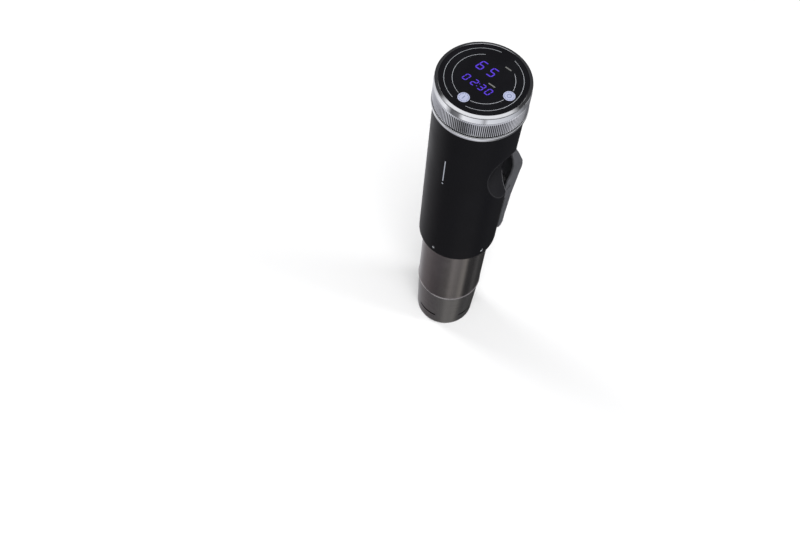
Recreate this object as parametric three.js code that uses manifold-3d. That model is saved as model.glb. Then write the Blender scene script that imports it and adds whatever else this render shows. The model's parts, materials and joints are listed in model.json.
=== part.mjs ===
// Sous vide circulator: a hand-held immersion heater and pump that clips to the wall of a pot.
// Millimetres, +Z up. The origin is the centre of the cap's underside, the user's side faces -Y,
// the clamp is on +Y, and the vertical axis of the tube is the Z axis.

import * as THREE from 'three';
import { mergeVertices } from 'three/addons/utils/BufferGeometryUtils.js';
import Module from 'manifold-3d';

const wasm = await Module();
wasm.setup();

// ---------------------------------------------------------------------------------- fits

const seatGap = 0.3;          // between pieces that touch
const runGap = 0.4;           // between pieces that turn or slide past each other
const screwHole = 1.5;        // radius of every screw's hole
const reach = 60;             // a cutter's length past the piece that it cuts
const outerSegments = 60;     // facets round the visible shells
const innerSegments = 32;     // facets round the inner rings
const smallSegments = 12;     // facets round pins and screws

// ------------------------------------------------------------------------ driving sizes

// heights, from the table up
const capHeight = 52;
const sleeveLength = 76.3;
const bodyLength = 153.4;
const trimHeight = 3;
const dialHeight = 18.3;
const glassHeight = 1.1;

// steel skirt
const sleeveRadius = 26.2;
const sleeveWall = 1;
const sleeveTuck = 2.6;
const capInset = 0.2;
const capTaper = 1.7;
const capWall = 1.4;
const capFloor = 1.6;
const capEdge = 2.4;
const capNeck = 8;
const capBevelShare = 0.3;
const slotHeight = 16;
const slotWidth = 1.9;
const slotHalfAngle = 24;
const slotCount = 4;
const intakeCount = 10;
const intakeRadius = 2;
const intakeInset = 5.4;

// bayonet between the skirt and the body
const lugCount = 2;
const lugHalfAngle = 9;
const lugHeight = 3;
const lugDepth = 1.3;
const twistAngle = 76;
const lockRingHeight = 12;
const lockRingWall = 2.4;

// body
const bodyStep = 4;
const bodyWall = 2.2;
const bodyLip = 4.4;
const bodyEdge = 0.8;
const bossReach = 10;
const bossWidth = 7;
const bossHeight = 14;
const bossOverlap = 0.5;
const mountScrewInset = 6.2;
const mountScrewLength = 10;
const mountScrewCount = 3;

// rear channel and finger scoops
const channelHalfWidth = 20.8;
const channelFloor = 7.5;
const channelRise = 55.7;
const channelDrop = 27.7;
const sideCutFloor = 12;
const scoopSize = [117, 250, 64.2];
const scoopOffset = [101.2, 80, 16.6];
const scoopTilt = -0.551;

// indicator
const indicatorDrop = 56.7;
const indicatorLength = 22.8;
const indicatorWidth = 0.7;
const indicatorDotDrop = 3;
const indicatorDotRadius = 0.7;
const indicatorBoardHalf = 5;
const indicatorBoardRoom = 1.2;
const indicatorBoardBelow = 7;
const indicatorBoardAbove = 2;

// clamp
const pivotStandOff = 3.8;
const pivotDrop = 19;
const pinRadius = 2;
const pinInset = 0.4;
const leverHalfWidth = 18;
const cheekThickness = 3;
const webShift = 3.4;
const jawShift = 0.6;
const jawTopDrop = 15;
const jawBottomDrop = 60;
const padThickness = 1.4;
const padInsetBottom = 4;
const padInsetTop = 2;
const bodyPadThickness = 0.8;
const bodyPadRise = 3;
const padHalfWidth = 12;
const bracketRound = 5.5;
const bracketFlangeHalf = 11;
const bracketFlangeDepth = 2.4;
const bracketRoot = 10;
const bracketScrewSpread = 8.3;
const bracketScrewHead = 2.4;
const bracketScrewHeadHeight = 1.5;
const bracketScrewEnd = 1.4;
const springRise = 48;
const springCoilRadius = 4;
const springWire = 0.6;
const springTurns = 6;
const springSeatInset = 7;
const springBossRim = 1;

// dial and panel
const trimOverhang = 1.5;
const trimBottomBevel = 0.5;
const trimTopBevel = 0.7;
const dialOverhang = 1.1;
const dialWall = 4;
const dialBevel = 4.6;
const dialTopInset = 0.35;
const dialFoot = 0.5;
const glassInset = 0.3;
const glassBevelWidth = 1.9;
const glassBevelDrop = 0.6;
const glassPlug = 1.5;
const carrierWall = 1.8;
const carrierFloor = 2.4;
const boardThickness = 1.6;
const displayHeight = 3.7;
const displayHalfWidth = 13.5;
const displayHalfDepth = 13;
const displayShift = 2;
const keyCircle = 20;
const keySpringRadius = 2.2;
const keySpringWall = 0.7;
const keySpringTop = 0.8;
const slideRingHeight = 1.2;
const slideRingInset = 1.6;
const magnetHeight = 5.4;
const magnetRise = 5;
const magnetInset = 2.3;
const carrierWindow = 8;
const boardPostRadius = 2;
const sensorSize = [4, 5, 2];

// pump, motor and heater
const shaftRadius = 1.6;
const shaftTubeRadius = 5;
const shaftTubeWall = 1;
const bushLength = 7;
const impellerRadius = 13;
const impellerHeight = 11;
const impellerClear = 12;
const impellerBlades = 6;
const bulkheadThickness = 5;
const collarLength = 20;
const collarWall = 2;
const sealRadius = 0.95;
const cradleHeight = 7.6;
const cradleWall = 2.2;
const motorRadius = 17;
const motorLength = 27.5;
const motorWall = 1.4;
const fanRadius = 21;
const fanBlades = 7;
const fanHeight = 5;
const fanRoom = 2;
const shaftTubeRoom = 4;
const coilRoom = 2;
const coilTube = 3;
const coilTurns = 3;
const coilPitch = 8;
const coilLegGap = 1.2;
const coilLegRoom = 0.8;
const probeRadius = 2;
const probeCircle = 10;
const electrodeRadius = 1.2;
const electrodeCircle = 14;
const terminalLength = 3;
const coilLegAngle = 30;
const coilLeadAngle = 50;
const probeAngle = 170;
const electrodes = [
  { place: 'low', angle: 235, rise: 34.4 },
  { place: 'high', angle: 275, rise: 58.4 },
];
const shaftSealHeight = 3.2;
const bladeThickness = 1.2;
const bladeShift = 1.6;
const impellerHub = 4.2;
const impellerPlate = 1.4;
const fanHub = 6;
const fanPitch = 38;
const rotorGap = 4.4;
const rotorInset = 4;
const magnetWall = 3.2;
const clipCircle = 20;
const clipSize = [6, 5.2, 8];

// electronics in front of the channel: across, deep and up are measured on the main board
const mainBoardHalf = 16;
const mainBoardRoom = 2.2;
const mainBoardFoot = 1;
const mainBoardHead = 5;
const relayPlace = { across: [-15, -3], deep: 15, up: [4, 23] };
const transformerPlace = { across: [0, 15], deep: 18, up: [3, 24] };
const sinkPlace = { across: [2, 16], deep: 2.4, up: [27, 55] };
const finPlace = { deep: 16, thickness: 1.6, pitch: 4, count: 4 };
const triacPlace = { across: [-2.9, 1.6], deep: 9, up: [30, 41] };
const terminalPlace = { across: [-15, -3], deep: 10, up: [52, 66] };
const capacitorPlace = { across: -9.5, radius: 6, deep: 20, up: 37 };

// cord inlet
const glandDrop = 13.7;
const glandRadius = 5;
const glandLength = 7;
const glandBore = 2.7;
const glandRoot = 2;
const glandFlange = 2;
const glandFlangeDepth = 1.6;
const glandTail = 1.2;

// ---------------------------------------------------------------- derived radii and heights

const bodyRadius = sleeveRadius + bodyStep;
const capTopRadius = sleeveRadius - capInset;
const capBottomRadius = capTopRadius - capTaper;
const intakeCircle = capBottomRadius - capEdge - intakeInset;
const trimRadius = bodyRadius + trimOverhang;
const dialRadius = bodyRadius + dialOverhang;
const dialBore = dialRadius - dialWall;
const dialTopRadius = dialRadius - dialTopInset;
const glassRadius = dialRadius - glassInset;
const sleeveBottom = capHeight + seatGap;
const bodyBottom = capHeight + sleeveLength;
const bodyTop = bodyBottom + bodyLength;
const sleeveTop = bodyBottom + sleeveTuck;
const trimBottom = bodyTop + seatGap;
const trimTop = trimBottom + trimHeight;
const dialBottom = trimTop + seatGap;
const dialTop = dialBottom + dialHeight;
const glassRim = dialTop + seatGap;
const glassTop = glassRim + glassHeight;
const glassBottom = glassRim - glassPlug;
const carrierTop = glassBottom - seatGap;
const carrierRadius = dialBore - seatGap;
const carrierFlangeTop = bodyTop - seatGap;
const carrierBottom = carrierFlangeTop - carrierFloor;
const boardTop = carrierTop - displayHeight - seatGap;
const bodyBore = bodyRadius - bodyWall;
const mountScrewCircle = bodyBore - mountScrewInset;
const channelBottom = bodyBottom + channelRise;
const channelTop = bodyTop - channelDrop;
const indicatorBottom = bodyTop - indicatorDrop;
const dotHeight = indicatorBottom - indicatorDotDrop;
const glandHeight = bodyTop - glandDrop;
const pivotBack = bodyRadius + pivotStandOff;
const pivotHeight = channelBottom - pivotDrop;
const jawFace = pivotBack - jawShift;
const jawTop = pivotHeight - jawTopDrop;
const jawBottom = pivotHeight - jawBottomDrop;
const springHeight = pivotHeight + springRise;
const springSeatBack = pivotBack - springSeatInset;
const bracketScrewHeights = [pivotHeight - bracketScrewSpread, pivotHeight + bracketScrewSpread];
const bulkheadBottom = bodyBottom + bodyLip + seatGap;
const bulkheadTop = bulkheadBottom + bulkheadThickness;
const sleeveBore = sleeveRadius - sleeveWall;
const lockRingRadius = sleeveBore - seatGap;
const collarRadius = lockRingRadius - lockRingWall - seatGap;
const collarBore = collarRadius - collarWall;
const lugBottom = bodyBottom - lockRingHeight + lugHeight;
const cradleBottom = bulkheadTop + seatGap;
const motorBottom = cradleBottom + cradleHeight + seatGap;
const motorTop = motorBottom + motorLength;
const fanBottom = motorTop + fanRoom;
const impellerBottom = capFloor + impellerClear;
const impellerTop = impellerBottom + impellerHeight;
const shaftTubeBottom = impellerTop + shaftTubeRoom;
const coilBottom = shaftTubeBottom + coilTube + coilRoom;
const coilLegRadius = shaftTubeRadius + coilLegGap + coilTube;
const coilRadius = coilLegRadius + coilLegRoom + 2 * coilTube;
const boreRadius = pinRadius + seatGap;

// ------------------------------------------------------------------------------ finishes

function finish(color, roughness, metalness) {
  return new THREE.MeshStandardMaterial({ color, roughness, metalness });
}

const finishes = {
  blackPlastic: finish(0x17171a, 0.55, 0),
  greyPlastic: finish(0x2c2d31, 0.6, 0),
  whitePlastic: finish(0xd9d8d2, 0.5, 0),
  glass: finish(0x060608, 0.08, 0),
  chrome: finish(0xd4d6da, 0.08, 1),
  steel: finish(0xa9a59f, 0.28, 1),
  rubber: finish(0x1a1a1a, 0.85, 0),
  board: finish(0x1f6b3a, 0.5, 0),
  brass: finish(0xb58f4a, 0.35, 1),
  aluminium: finish(0xb9bcc0, 0.4, 1),
  light: finish(0xe8ecf6, 0.3, 0),
  magnet: finish(0x3a3a3d, 0.5, 0.6),
};

// ----------------------------------------------------------------- solids from geometries

function signedVolume(positions, indices) {
  const a = new THREE.Vector3();
  const b = new THREE.Vector3();
  const c = new THREE.Vector3();
  let total = 0;
  for (let i = 0; i < indices.length; i += 3) {
    a.fromArray(positions, indices[i] * 3);
    b.fromArray(positions, indices[i + 1] * 3);
    c.fromArray(positions, indices[i + 2] * 3);
    total += a.dot(b.cross(c));
  }
  return total / 6;
}

// A closed geometry as a solid, with its faces turned outwards.
function toSolid(geometry) {
  const bare = geometry.clone();
  bare.deleteAttribute('normal');
  bare.deleteAttribute('uv');
  const merged = mergeVertices(bare, 1e-4);
  const positions = new Float32Array(merged.attributes.position.array);
  const kept = [];
  const index = merged.index.array;
  for (let i = 0; i < index.length; i += 3) {
    const corners = [index[i], index[i + 1], index[i + 2]];
    if (new Set(corners).size === 3) kept.push(...corners);
  }
  if (signedVolume(positions, kept) < 0) kept.reverse();
  const mesh = new wasm.Mesh({
    numProp: 3,
    vertProperties: positions,
    triVerts: new Uint32Array(kept),
  });
  return new wasm.Manifold(mesh);
}

function toGeometry(solid) {
  const mesh = solid.getMesh();
  const geometry = new THREE.BufferGeometry();
  const positions = new Float32Array(mesh.numVert * 3);
  for (let i = 0; i < mesh.numVert; i += 1) {
    for (let k = 0; k < 3; k += 1) {
      positions[i * 3 + k] = mesh.vertProperties[i * mesh.numProp + k];
    }
  }
  geometry.setAttribute('position', new THREE.BufferAttribute(positions, 3));
  geometry.setIndex(new THREE.BufferAttribute(new Uint32Array(mesh.triVerts), 1));
  geometry.computeVertexNormals();
  return geometry;
}

function unite(solids) {
  return solids.reduce((whole, solid) => whole.add(solid));
}

function cut(solid, cutters) {
  return cutters.reduce((rest, cutter) => rest.subtract(cutter), solid);
}

// A profile of [radius, height] turned about Z. It starts and ends on the axis, or closes on itself.
function revolve(profile, segments = outerSegments) {
  const points = profile.map(([radius, height]) => new THREE.Vector2(radius, height));
  const onAxis = profile[0][0] === 0 && profile.at(-1)[0] === 0;
  if (!onAxis) points.push(points[0].clone());
  const geometry = new THREE.LatheGeometry(points, segments);
  geometry.rotateX(Math.PI / 2);
  return toSolid(geometry);
}

function ring(inner, outer, bottom, top, segments = innerSegments) {
  return revolve([[inner, bottom], [outer, bottom], [outer, top], [inner, top]], segments);
}

function disc(radius, bottom, top, segments = innerSegments) {
  return revolve([[0, bottom], [radius, bottom], [radius, top], [0, top]], segments);
}

function block([x0, x1], [y0, y1], [z0, z1]) {
  const geometry = new THREE.BoxGeometry(x1 - x0, y1 - y0, z1 - z0);
  geometry.translate((x0 + x1) / 2, (y0 + y1) / 2, (z0 + z1) / 2);
  return toSolid(geometry);
}

function post(x, y, radius, bottom, top, segments = smallSegments) {
  const geometry = new THREE.CylinderGeometry(radius, radius, top - bottom, segments);
  geometry.rotateX(Math.PI / 2);
  geometry.translate(x, y, (bottom + top) / 2);
  return toSolid(geometry);
}

function rodAlongX(y, z, radius, x0, x1) {
  const geometry = new THREE.CylinderGeometry(radius, radius, x1 - x0, smallSegments);
  geometry.rotateZ(Math.PI / 2);
  geometry.translate((x0 + x1) / 2, y, z);
  return toSolid(geometry);
}

function rodAlongY(x, z, radius, y0, y1) {
  const geometry = new THREE.CylinderGeometry(radius, radius, y1 - y0, smallSegments);
  geometry.translate(x, (y0 + y1) / 2, z);
  return toSolid(geometry);
}

// An outline of [y, z] pairs, extruded along X from -halfWidth to halfWidth.
function sidePlate(outline, halfWidth) {
  const shape = new THREE.Shape(outline.map(([y, z]) => new THREE.Vector2(y, z)));
  const geometry = new THREE.ExtrudeGeometry(shape, { depth: 2 * halfWidth, bevelEnabled: false });
  const turned = new THREE.Matrix4().makeBasis(
    new THREE.Vector3(0, 1, 0),
    new THREE.Vector3(0, 0, 1),
    new THREE.Vector3(1, 0, 0),
  );
  geometry.applyMatrix4(turned);
  geometry.translate(-halfWidth, 0, 0);
  return toSolid(geometry);
}

// A wedge of a ring, from one angle to another in degrees.
function sector(inner, outer, bottom, top, fromAngle, toAngle) {
  const start = THREE.MathUtils.degToRad(fromAngle);
  const end = THREE.MathUtils.degToRad(toAngle);
  const shape = new THREE.Shape();
  shape.absarc(0, 0, outer, start, end, false);
  shape.absarc(0, 0, inner, end, start, true);
  const geometry = new THREE.ExtrudeGeometry(shape, {
    depth: top - bottom,
    bevelEnabled: false,
    curveSegments: 6,
  });
  geometry.translate(0, 0, bottom);
  return toSolid(geometry);
}

// A round wire swept along a list of points.
function wire(points, radius, steps, sides) {
  const curve = new THREE.CatmullRomCurve3(points);
  const section = new THREE.Shape();
  section.absarc(0, 0, radius, 0, Math.PI * 2, false);
  const geometry = new THREE.ExtrudeGeometry(section, {
    steps,
    curveSegments: sides,
    extrudePath: curve,
    bevelEnabled: false,
  });
  return toSolid(geometry);
}

function polar(radius, degrees) {
  const angle = THREE.MathUtils.degToRad(degrees);
  return [radius * Math.cos(angle), radius * Math.sin(angle)];
}

function spread(count, startAngle = 0) {
  return Array.from({ length: count }, (_, i) => startAngle + (360 / count) * i);
}

// -------------------------------------------------------------------------- the assembly

const circulator = new THREE.Group();

function addPart(name, solid, material) {
  const mesh = new THREE.Mesh(toGeometry(solid), material);
  mesh.name = name;
  circulator.add(mesh);
}

// A pan-head screw that points down from its head, with a slot across the head.
function screw(x, y, headBottom, shankLength) {
  const headRadius = 2.2;
  const headHeight = 1.4;
  const shankRadius = screwHole - seatGap;
  const slotHalf = 0.3;
  const slotDepth = 0.6;
  const head = post(x, y, headRadius, headBottom, headBottom + headHeight);
  const shank = post(x, y, shankRadius, headBottom - shankLength, headBottom + seatGap);
  const slot = block(
    [x - headRadius, x + headRadius],
    [y - slotHalf, y + slotHalf],
    [headBottom + headHeight - slotDepth, headBottom + headHeight + 1],
  );
  return cut(head.add(shank), [slot]);
}

// ---------------------------------------------------------------------------- steel skirt

function buildSkirt() {
  addPart('skirt_sleeve', ring(sleeveBore, sleeveRadius, sleeveBottom, sleeveTop, outerSegments),
    finishes.steel);

  const neckRadius = sleeveBore - seatGap;
  const neckTop = capHeight + capNeck;
  const capProfile = [
    [0, 0],
    [capBottomRadius - capEdge, 0],
    [capBottomRadius - capEdge * capBevelShare, capEdge * capBevelShare],
    [capBottomRadius, capEdge],
    [capTopRadius, capHeight],
    [neckRadius, capHeight],
    [neckRadius, neckTop],
    [neckRadius - capWall, neckTop],
    [neckRadius - capWall, capHeight - capWall],
    [capBottomRadius - capWall, capEdge + capFloor],
    [capBottomRadius - capWall - capEdge, capFloor],
    [0, capFloor],
  ];
  const slots = spread(slotCount, -90).map((angle) => sector(
    capBottomRadius - capWall - 3,
    capTopRadius + 2,
    slotHeight - slotWidth / 2,
    slotHeight + slotWidth / 2,
    angle - slotHalfAngle,
    angle + slotHalfAngle,
  ));
  const intakes = spread(intakeCount).map((angle) => {
    const [x, y] = polar(intakeCircle, angle);
    return post(x, y, intakeRadius, -1, capFloor + 1, 8);
  });
  addPart('skirt_cap', cut(revolve(capProfile), [...slots, ...intakes]), finishes.steel);

  const lockTop = bodyBottom - seatGap;
  const lockBottom = lockTop - lockRingHeight;
  const lockBore = collarRadius + seatGap;
  const grooveRadius = collarRadius + lugDepth + seatGap;
  const margin = 1.5;
  const grooves = spread(lugCount).flatMap((angle) => [
    sector(lockBore - 1, grooveRadius, lugBottom - seatGap, lugBottom + lugHeight + seatGap,
      angle - twistAngle - lugHalfAngle - margin, angle + lugHalfAngle + margin),
    sector(lockBore - 1, grooveRadius, lugBottom - seatGap, lockTop + 1,
      angle - twistAngle - lugHalfAngle - margin, angle - twistAngle + lugHalfAngle + margin),
  ]);
  const lockRing = ring(lockBore, lockRingRadius, lockBottom, lockTop);
  addPart('skirt_lock_ring', cut(lockRing, grooves), finishes.blackPlastic);
}

// ----------------------------------------------------------------------------------- body

// The hollow of the finger scoop on one side, grown outwards by `grow`.
function scoop(side, grow) {
  const geometry = new THREE.SphereGeometry(1, 76, 56);
  const [a, b, c] = scoopSize;
  geometry.scale(a + grow, b + grow, c + grow);
  geometry.rotateX(scoopTilt);
  const [x, y, z] = scoopOffset;
  geometry.translate(bodyRadius + x, y, pivotHeight + z);
  geometry.scale(side, 1, 1);
  return toSolid(geometry);
}

function buildBody() {
  const shellProfile = [
    [0, bodyBottom],
    [bodyRadius - bodyEdge, bodyBottom],
    [bodyRadius, bodyBottom + bodyEdge],
    [bodyRadius, bodyTop],
    [0, bodyTop],
  ];
  const lipBore = sleeveRadius + runGap;
  const lipTop = bodyBottom + bodyLip;
  const cavity = disc(bodyBore, lipTop, bodyTop + 1, outerSegments);
  const pocketWall = block(
    [-reach, reach],
    [channelFloor - bodyWall, reach],
    [channelBottom - bodyWall, channelTop + bodyWall],
  );
  const bosses = spread(mountScrewCount, 90).map((angle) => {
    const geometry = new THREE.BoxGeometry(bossReach, bossWidth, bossHeight);
    const middle = bodyBore + bossOverlap - bossReach / 2;
    geometry.translate(middle, 0, carrierBottom - seatGap - bossHeight / 2);
    geometry.rotateZ(THREE.MathUtils.degToRad(angle));
    return toSolid(geometry);
  });
  const hollow = cut(cavity, [pocketWall, scoop(1, bodyWall), scoop(-1, bodyWall), ...bosses]);
  const channel = block([-channelHalfWidth, channelHalfWidth], [channelFloor, reach],
    [channelBottom, channelTop]);
  const sideCut = block([-reach, reach], [sideCutFloor, reach], [channelBottom, channelTop]);
  const screwHoles = spread(mountScrewCount, 90).map((angle) => {
    const [x, y] = polar(mountScrewCircle, angle);
    return post(x, y, screwHole, carrierBottom - bossHeight, carrierBottom + 1);
  });
  const strip = block(
    [-indicatorWidth / 2 - seatGap, indicatorWidth / 2 + seatGap],
    [-bodyRadius - 1, -bodyBore + 1],
    [indicatorBottom - seatGap, indicatorBottom + indicatorLength + seatGap],
  );
  const dot = rodAlongY(0, dotHeight, indicatorDotRadius + seatGap, -bodyRadius - 1, -bodyBore + 1);
  const wallInside = bodyBore - 3;
  const glandHole = rodAlongY(0, glandHeight, glandRadius + seatGap, wallInside, bodyRadius + 1);
  const bracketHoles = bracketScrewHeights.map((height) => rodAlongY(0, height, screwHole,
    wallInside, bodyRadius + 1));
  const shell = cut(revolve(shellProfile), [
    hollow, disc(lipBore, bodyBottom - 1, lipTop + 1), channel, sideCut, scoop(1, 0),
    scoop(-1, 0), strip, dot, glandHole, ...screwHoles, ...bracketHoles,
  ]);
  addPart('body_shell', shell, finishes.blackPlastic);

  addPart('indicator_strip', block(
    [-indicatorWidth / 2, indicatorWidth / 2],
    [-bodyRadius, -bodyBore],
    [indicatorBottom, indicatorBottom + indicatorLength],
  ), finishes.light);
  addPart('indicator_dot', rodAlongY(0, dotHeight, indicatorDotRadius, -bodyRadius, -bodyBore),
    finishes.light);
  const boardFront = -bodyBore + indicatorBoardRoom;
  addPart('indicator_board', block(
    [-indicatorBoardHalf, indicatorBoardHalf],
    [boardFront, boardFront + boardThickness],
    [indicatorBottom - indicatorBoardBelow, indicatorBottom + indicatorLength + indicatorBoardAbove],
  ), finishes.board);
}

// ---------------------------------------------------------------------------------- clamp

// The lever's rear outline from its bottom end to its top end, as [back, up] from the pivot.
const leverBack = [
  [3.9, -jawBottomDrop],
  [5.8, 4 - jawBottomDrop],
  [5.9, -44],
  [7, -31.5],
  [7.8, -18],
  [10.1, -6.5],
  [12.7, 7.5],
  [14.1, 13],
  [14.2, 17],
  [12.8, 22.5],
  [5.3, 38],
  [-3.4, 54],
  [-8.6, 68],
  [-10.6, 70.4],
].map(([back, up]) => [pivotBack + back, pivotHeight + up]);

// The front edge of its cheeks, from the top end down to the jaw.
const leverFront = [
  [-12.6, 68.5],
  [-7.2, 48],
  [-3.4, 37],
  [-0.6, 26],
  [-0.5, 17],
  [-2.1, 11],
  [-3.6, 4],
  [-4.8, -4],
  [-3.4, -11],
  [-jawShift, -jawTopDrop],
  [-jawShift, 1.5 - jawBottomDrop],
  [1 - jawShift, -jawBottomDrop],
].map(([back, up]) => [pivotBack + back, pivotHeight + up]);

function buildClamp() {
  const outside = sidePlate([...leverBack, ...leverFront], leverHalfWidth);
  const pocketBottom = jawTop + padInsetTop;
  const pocketBack = leverBack.filter(([, z]) => z > pocketBottom).map(([y, z]) => [y - webShift, z]);
  const pocket = sidePlate([
    [0, pocketBottom],
    [leverBack.find(([, z]) => z > pocketBottom)[0] - webShift - 1, pocketBottom],
    ...pocketBack,
    [pocketBack.at(-1)[0], channelTop],
    [0, channelTop],
  ], leverHalfWidth - cheekThickness);
  const bossRadius = springCoilRadius + springBossRim;
  const springBoss = outside.intersect(block(
    [-bossRadius, bossRadius],
    [springSeatBack, reach],
    [springHeight - bossRadius, springHeight + bossRadius],
  ));
  const bore = rodAlongX(pivotBack, pivotHeight, boreRadius, -reach, reach);
  addPart('clamp_lever', cut(cut(outside, [pocket]).add(springBoss), [bore]), finishes.greyPlastic);

  addPart('lever_pad', block([-padHalfWidth, padHalfWidth],
    [jawFace - seatGap - padThickness, jawFace - seatGap],
    [jawBottom + padInsetBottom, jawTop - padInsetTop]), finishes.rubber);
  const padInner = bodyRadius + seatGap;
  const bodyPadBottom = bodyBottom + bodyPadRise;
  const bodyPad = ring(padInner, padInner + bodyPadThickness, bodyPadBottom, jawTop + 1,
    outerSegments);
  addPart('body_pad', bodyPad.intersect(block([-padHalfWidth, padHalfWidth], [0, reach],
    [bodyBottom, jawTop + reach])), finishes.rubber);

  const bracketHalf = leverHalfWidth - cheekThickness - seatGap;
  const roundSteps = 7;
  const roundEnd = Array.from({ length: roundSteps + 1 }, (_, i) => {
    const [back, up] = polar(bracketRound, -90 + (180 / roundSteps) * i);
    return [pivotBack + back, pivotHeight + up];
  });
  const root = bodyRadius - bracketRoot;
  const ears = sidePlate([[root, pivotHeight - bracketRound], ...roundEnd,
    [root, pivotHeight + bracketRound]], bracketHalf);
  const flange = block([-bracketHalf, bracketHalf], [root, bodyRadius + bracketFlangeDepth],
    [pivotHeight - bracketFlangeHalf, pivotHeight + bracketFlangeHalf]);
  const bracket = cut(ears.add(flange), [
    disc(bodyRadius + seatGap, pivotHeight - reach, pivotHeight + reach, outerSegments),
    bore,
    ...bracketScrewHeights.map((height) => rodAlongY(0, height, screwHole, root, bodyRadius + 1.8)),
  ]);
  addPart('clamp_bracket', bracket, finishes.blackPlastic);
  const pinHalf = leverHalfWidth - pinInset;
  addPart('pivot_pin', rodAlongX(pivotBack, pivotHeight, pinRadius, -pinHalf, pinHalf),
    finishes.steel);

  ['lower', 'upper'].forEach((place, i) => {
    const height = bracketScrewHeights[i];
    const headBack = bodyBore - seatGap;
    const head = rodAlongY(0, height, bracketScrewHead, headBack - bracketScrewHeadHeight, headBack);
    const shank = rodAlongY(0, height, screwHole - seatGap, headBack - seatGap,
      bodyRadius + bracketScrewEnd);
    addPart(`bracket_screw_${place}`, head.add(shank), finishes.steel);
  });

  const springFront = channelFloor + seatGap + springWire;
  const springBack = springSeatBack - seatGap - springWire;
  const stepsPerTurn = 9;
  const points = Array.from({ length: springTurns * stepsPerTurn + 1 }, (_, i) => {
    const share = i / (springTurns * stepsPerTurn);
    const angle = share * springTurns * Math.PI * 2;
    return new THREE.Vector3(
      springCoilRadius * Math.cos(angle),
      springFront + share * (springBack - springFront),
      springHeight + springCoilRadius * Math.sin(angle),
    );
  });
  addPart('clamp_spring', wire(points, springWire, points.length - 1, 3), finishes.steel);
}

// ------------------------------------------------------------------------- dial and panel

function buildDial() {
  const slideBore = dialBore + seatGap;
  const slideRadius = dialRadius - slideRingInset;
  addPart('trim_ring', revolve([
    [dialBore, trimBottom],
    [trimRadius - trimBottomBevel, trimBottom],
    [trimRadius, trimBottom + trimBottomBevel],
    [trimRadius, trimTop - trimTopBevel],
    [trimRadius - trimTopBevel, trimTop],
    [dialBore, trimTop],
  ]), finishes.chrome);
  addPart('dial_slide_ring', ring(slideBore, slideRadius, trimTop + seatGap,
    trimTop + seatGap + slideRingHeight), finishes.whitePlastic);

  const rebateTop = dialBottom + slideRingHeight + 2 * seatGap;
  const magnetBottom = dialBottom + magnetRise;
  const magnetTop = magnetBottom + magnetHeight;
  const magnetRadius = dialRadius - magnetInset;
  addPart('dial_ring', revolve([
    [slideRadius + runGap, dialBottom],
    [dialRadius - dialFoot, dialBottom],
    [dialRadius, dialBottom + dialFoot],
    [dialRadius, dialTop - dialBevel],
    [dialTopRadius, dialTop],
    [dialBore, dialTop],
    [dialBore, magnetTop + seatGap],
    [magnetRadius + seatGap, magnetTop + seatGap],
    [magnetRadius + seatGap, magnetBottom - seatGap],
    [dialBore, magnetBottom - seatGap],
    [dialBore, rebateTop],
    [slideRadius + runGap, rebateTop],
  ]), finishes.chrome);
  addPart('encoder_magnet_ring', ring(dialBore + seatGap, magnetRadius, magnetBottom, magnetTop),
    finishes.magnet);

  addPart('glass_panel', revolve([
    [0, glassBottom],
    [carrierRadius, glassBottom],
    [carrierRadius, glassRim],
    [glassRadius, glassRim],
    [glassRadius, glassTop - glassBevelDrop],
    [glassRadius - glassBevelWidth, glassTop],
    [0, glassTop],
  ]), finishes.glass);

  const carrierBore = carrierRadius - carrierWall;
  const flangeRadius = bodyBore - seatGap;
  const boardBottom = boardTop - boardThickness;
  const cup = revolve([
    [0, carrierBottom],
    [flangeRadius, carrierBottom],
    [flangeRadius, carrierFlangeTop],
    [carrierRadius, carrierFlangeTop],
    [carrierRadius, carrierTop],
    [carrierBore, carrierTop],
    [carrierBore, carrierBottom + carrierFloor],
    [0, carrierBottom + carrierFloor],
  ], innerSegments);
  const boardPosts = spread(mountScrewCount, 30).map((angle) => {
    const [x, y] = polar(mountScrewCircle, angle);
    return post(x, y, boardPostRadius, carrierBottom, boardBottom - seatGap);
  });
  const holes = spread(mountScrewCount, 90).map((angle) => {
    const [x, y] = polar(mountScrewCircle, angle);
    return post(x, y, screwHole, carrierBottom - 1, carrierFlangeTop + 1);
  });
  addPart('panel_carrier', cut(unite([cup, ...boardPosts]), [
    disc(carrierWindow, carrierBottom - 1, carrierFlangeTop + 1, smallSegments), ...holes,
  ]), finishes.blackPlastic);
  spread(mountScrewCount, 90).forEach((angle, i) => {
    const [x, y] = polar(mountScrewCircle, angle);
    addPart(`carrier_screw_${i + 1}`,
      screw(x, y, carrierFlangeTop + seatGap, mountScrewLength), finishes.steel);
  });

  addPart('touch_board', disc(carrierBore - seatGap, boardBottom, boardTop), finishes.board);
  addPart('display_module', block([-displayHalfWidth, displayHalfWidth],
    [displayShift - displayHalfDepth, displayShift + displayHalfDepth],
    [boardTop + seatGap, carrierTop]),
  finishes.blackPlastic);
  const keys = [['start', -90], ['set', 0]];
  keys.forEach(([key, angle]) => {
    const [x, y] = polar(keyCircle, angle);
    const pad = cut(post(x, y, keySpringRadius, boardTop + seatGap, carrierTop),
      [post(x, y, keySpringRadius - keySpringWall, boardTop - 1, carrierTop - keySpringTop)]);
    addPart(`${key}_key_contact`, pad, finishes.brass);
  });
  const [sensorWidth, sensorLength, sensorHeight] = sensorSize;
  addPart('dial_sensor', block(
    [1 - carrierBore, 1 - carrierBore + sensorWidth],
    [-sensorLength / 2, sensorLength / 2],
    [boardBottom - seatGap - sensorHeight, boardBottom - seatGap],
  ), finishes.blackPlastic);
}

// ---------------------------------------------------------------- electronics and cord inlet

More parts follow.
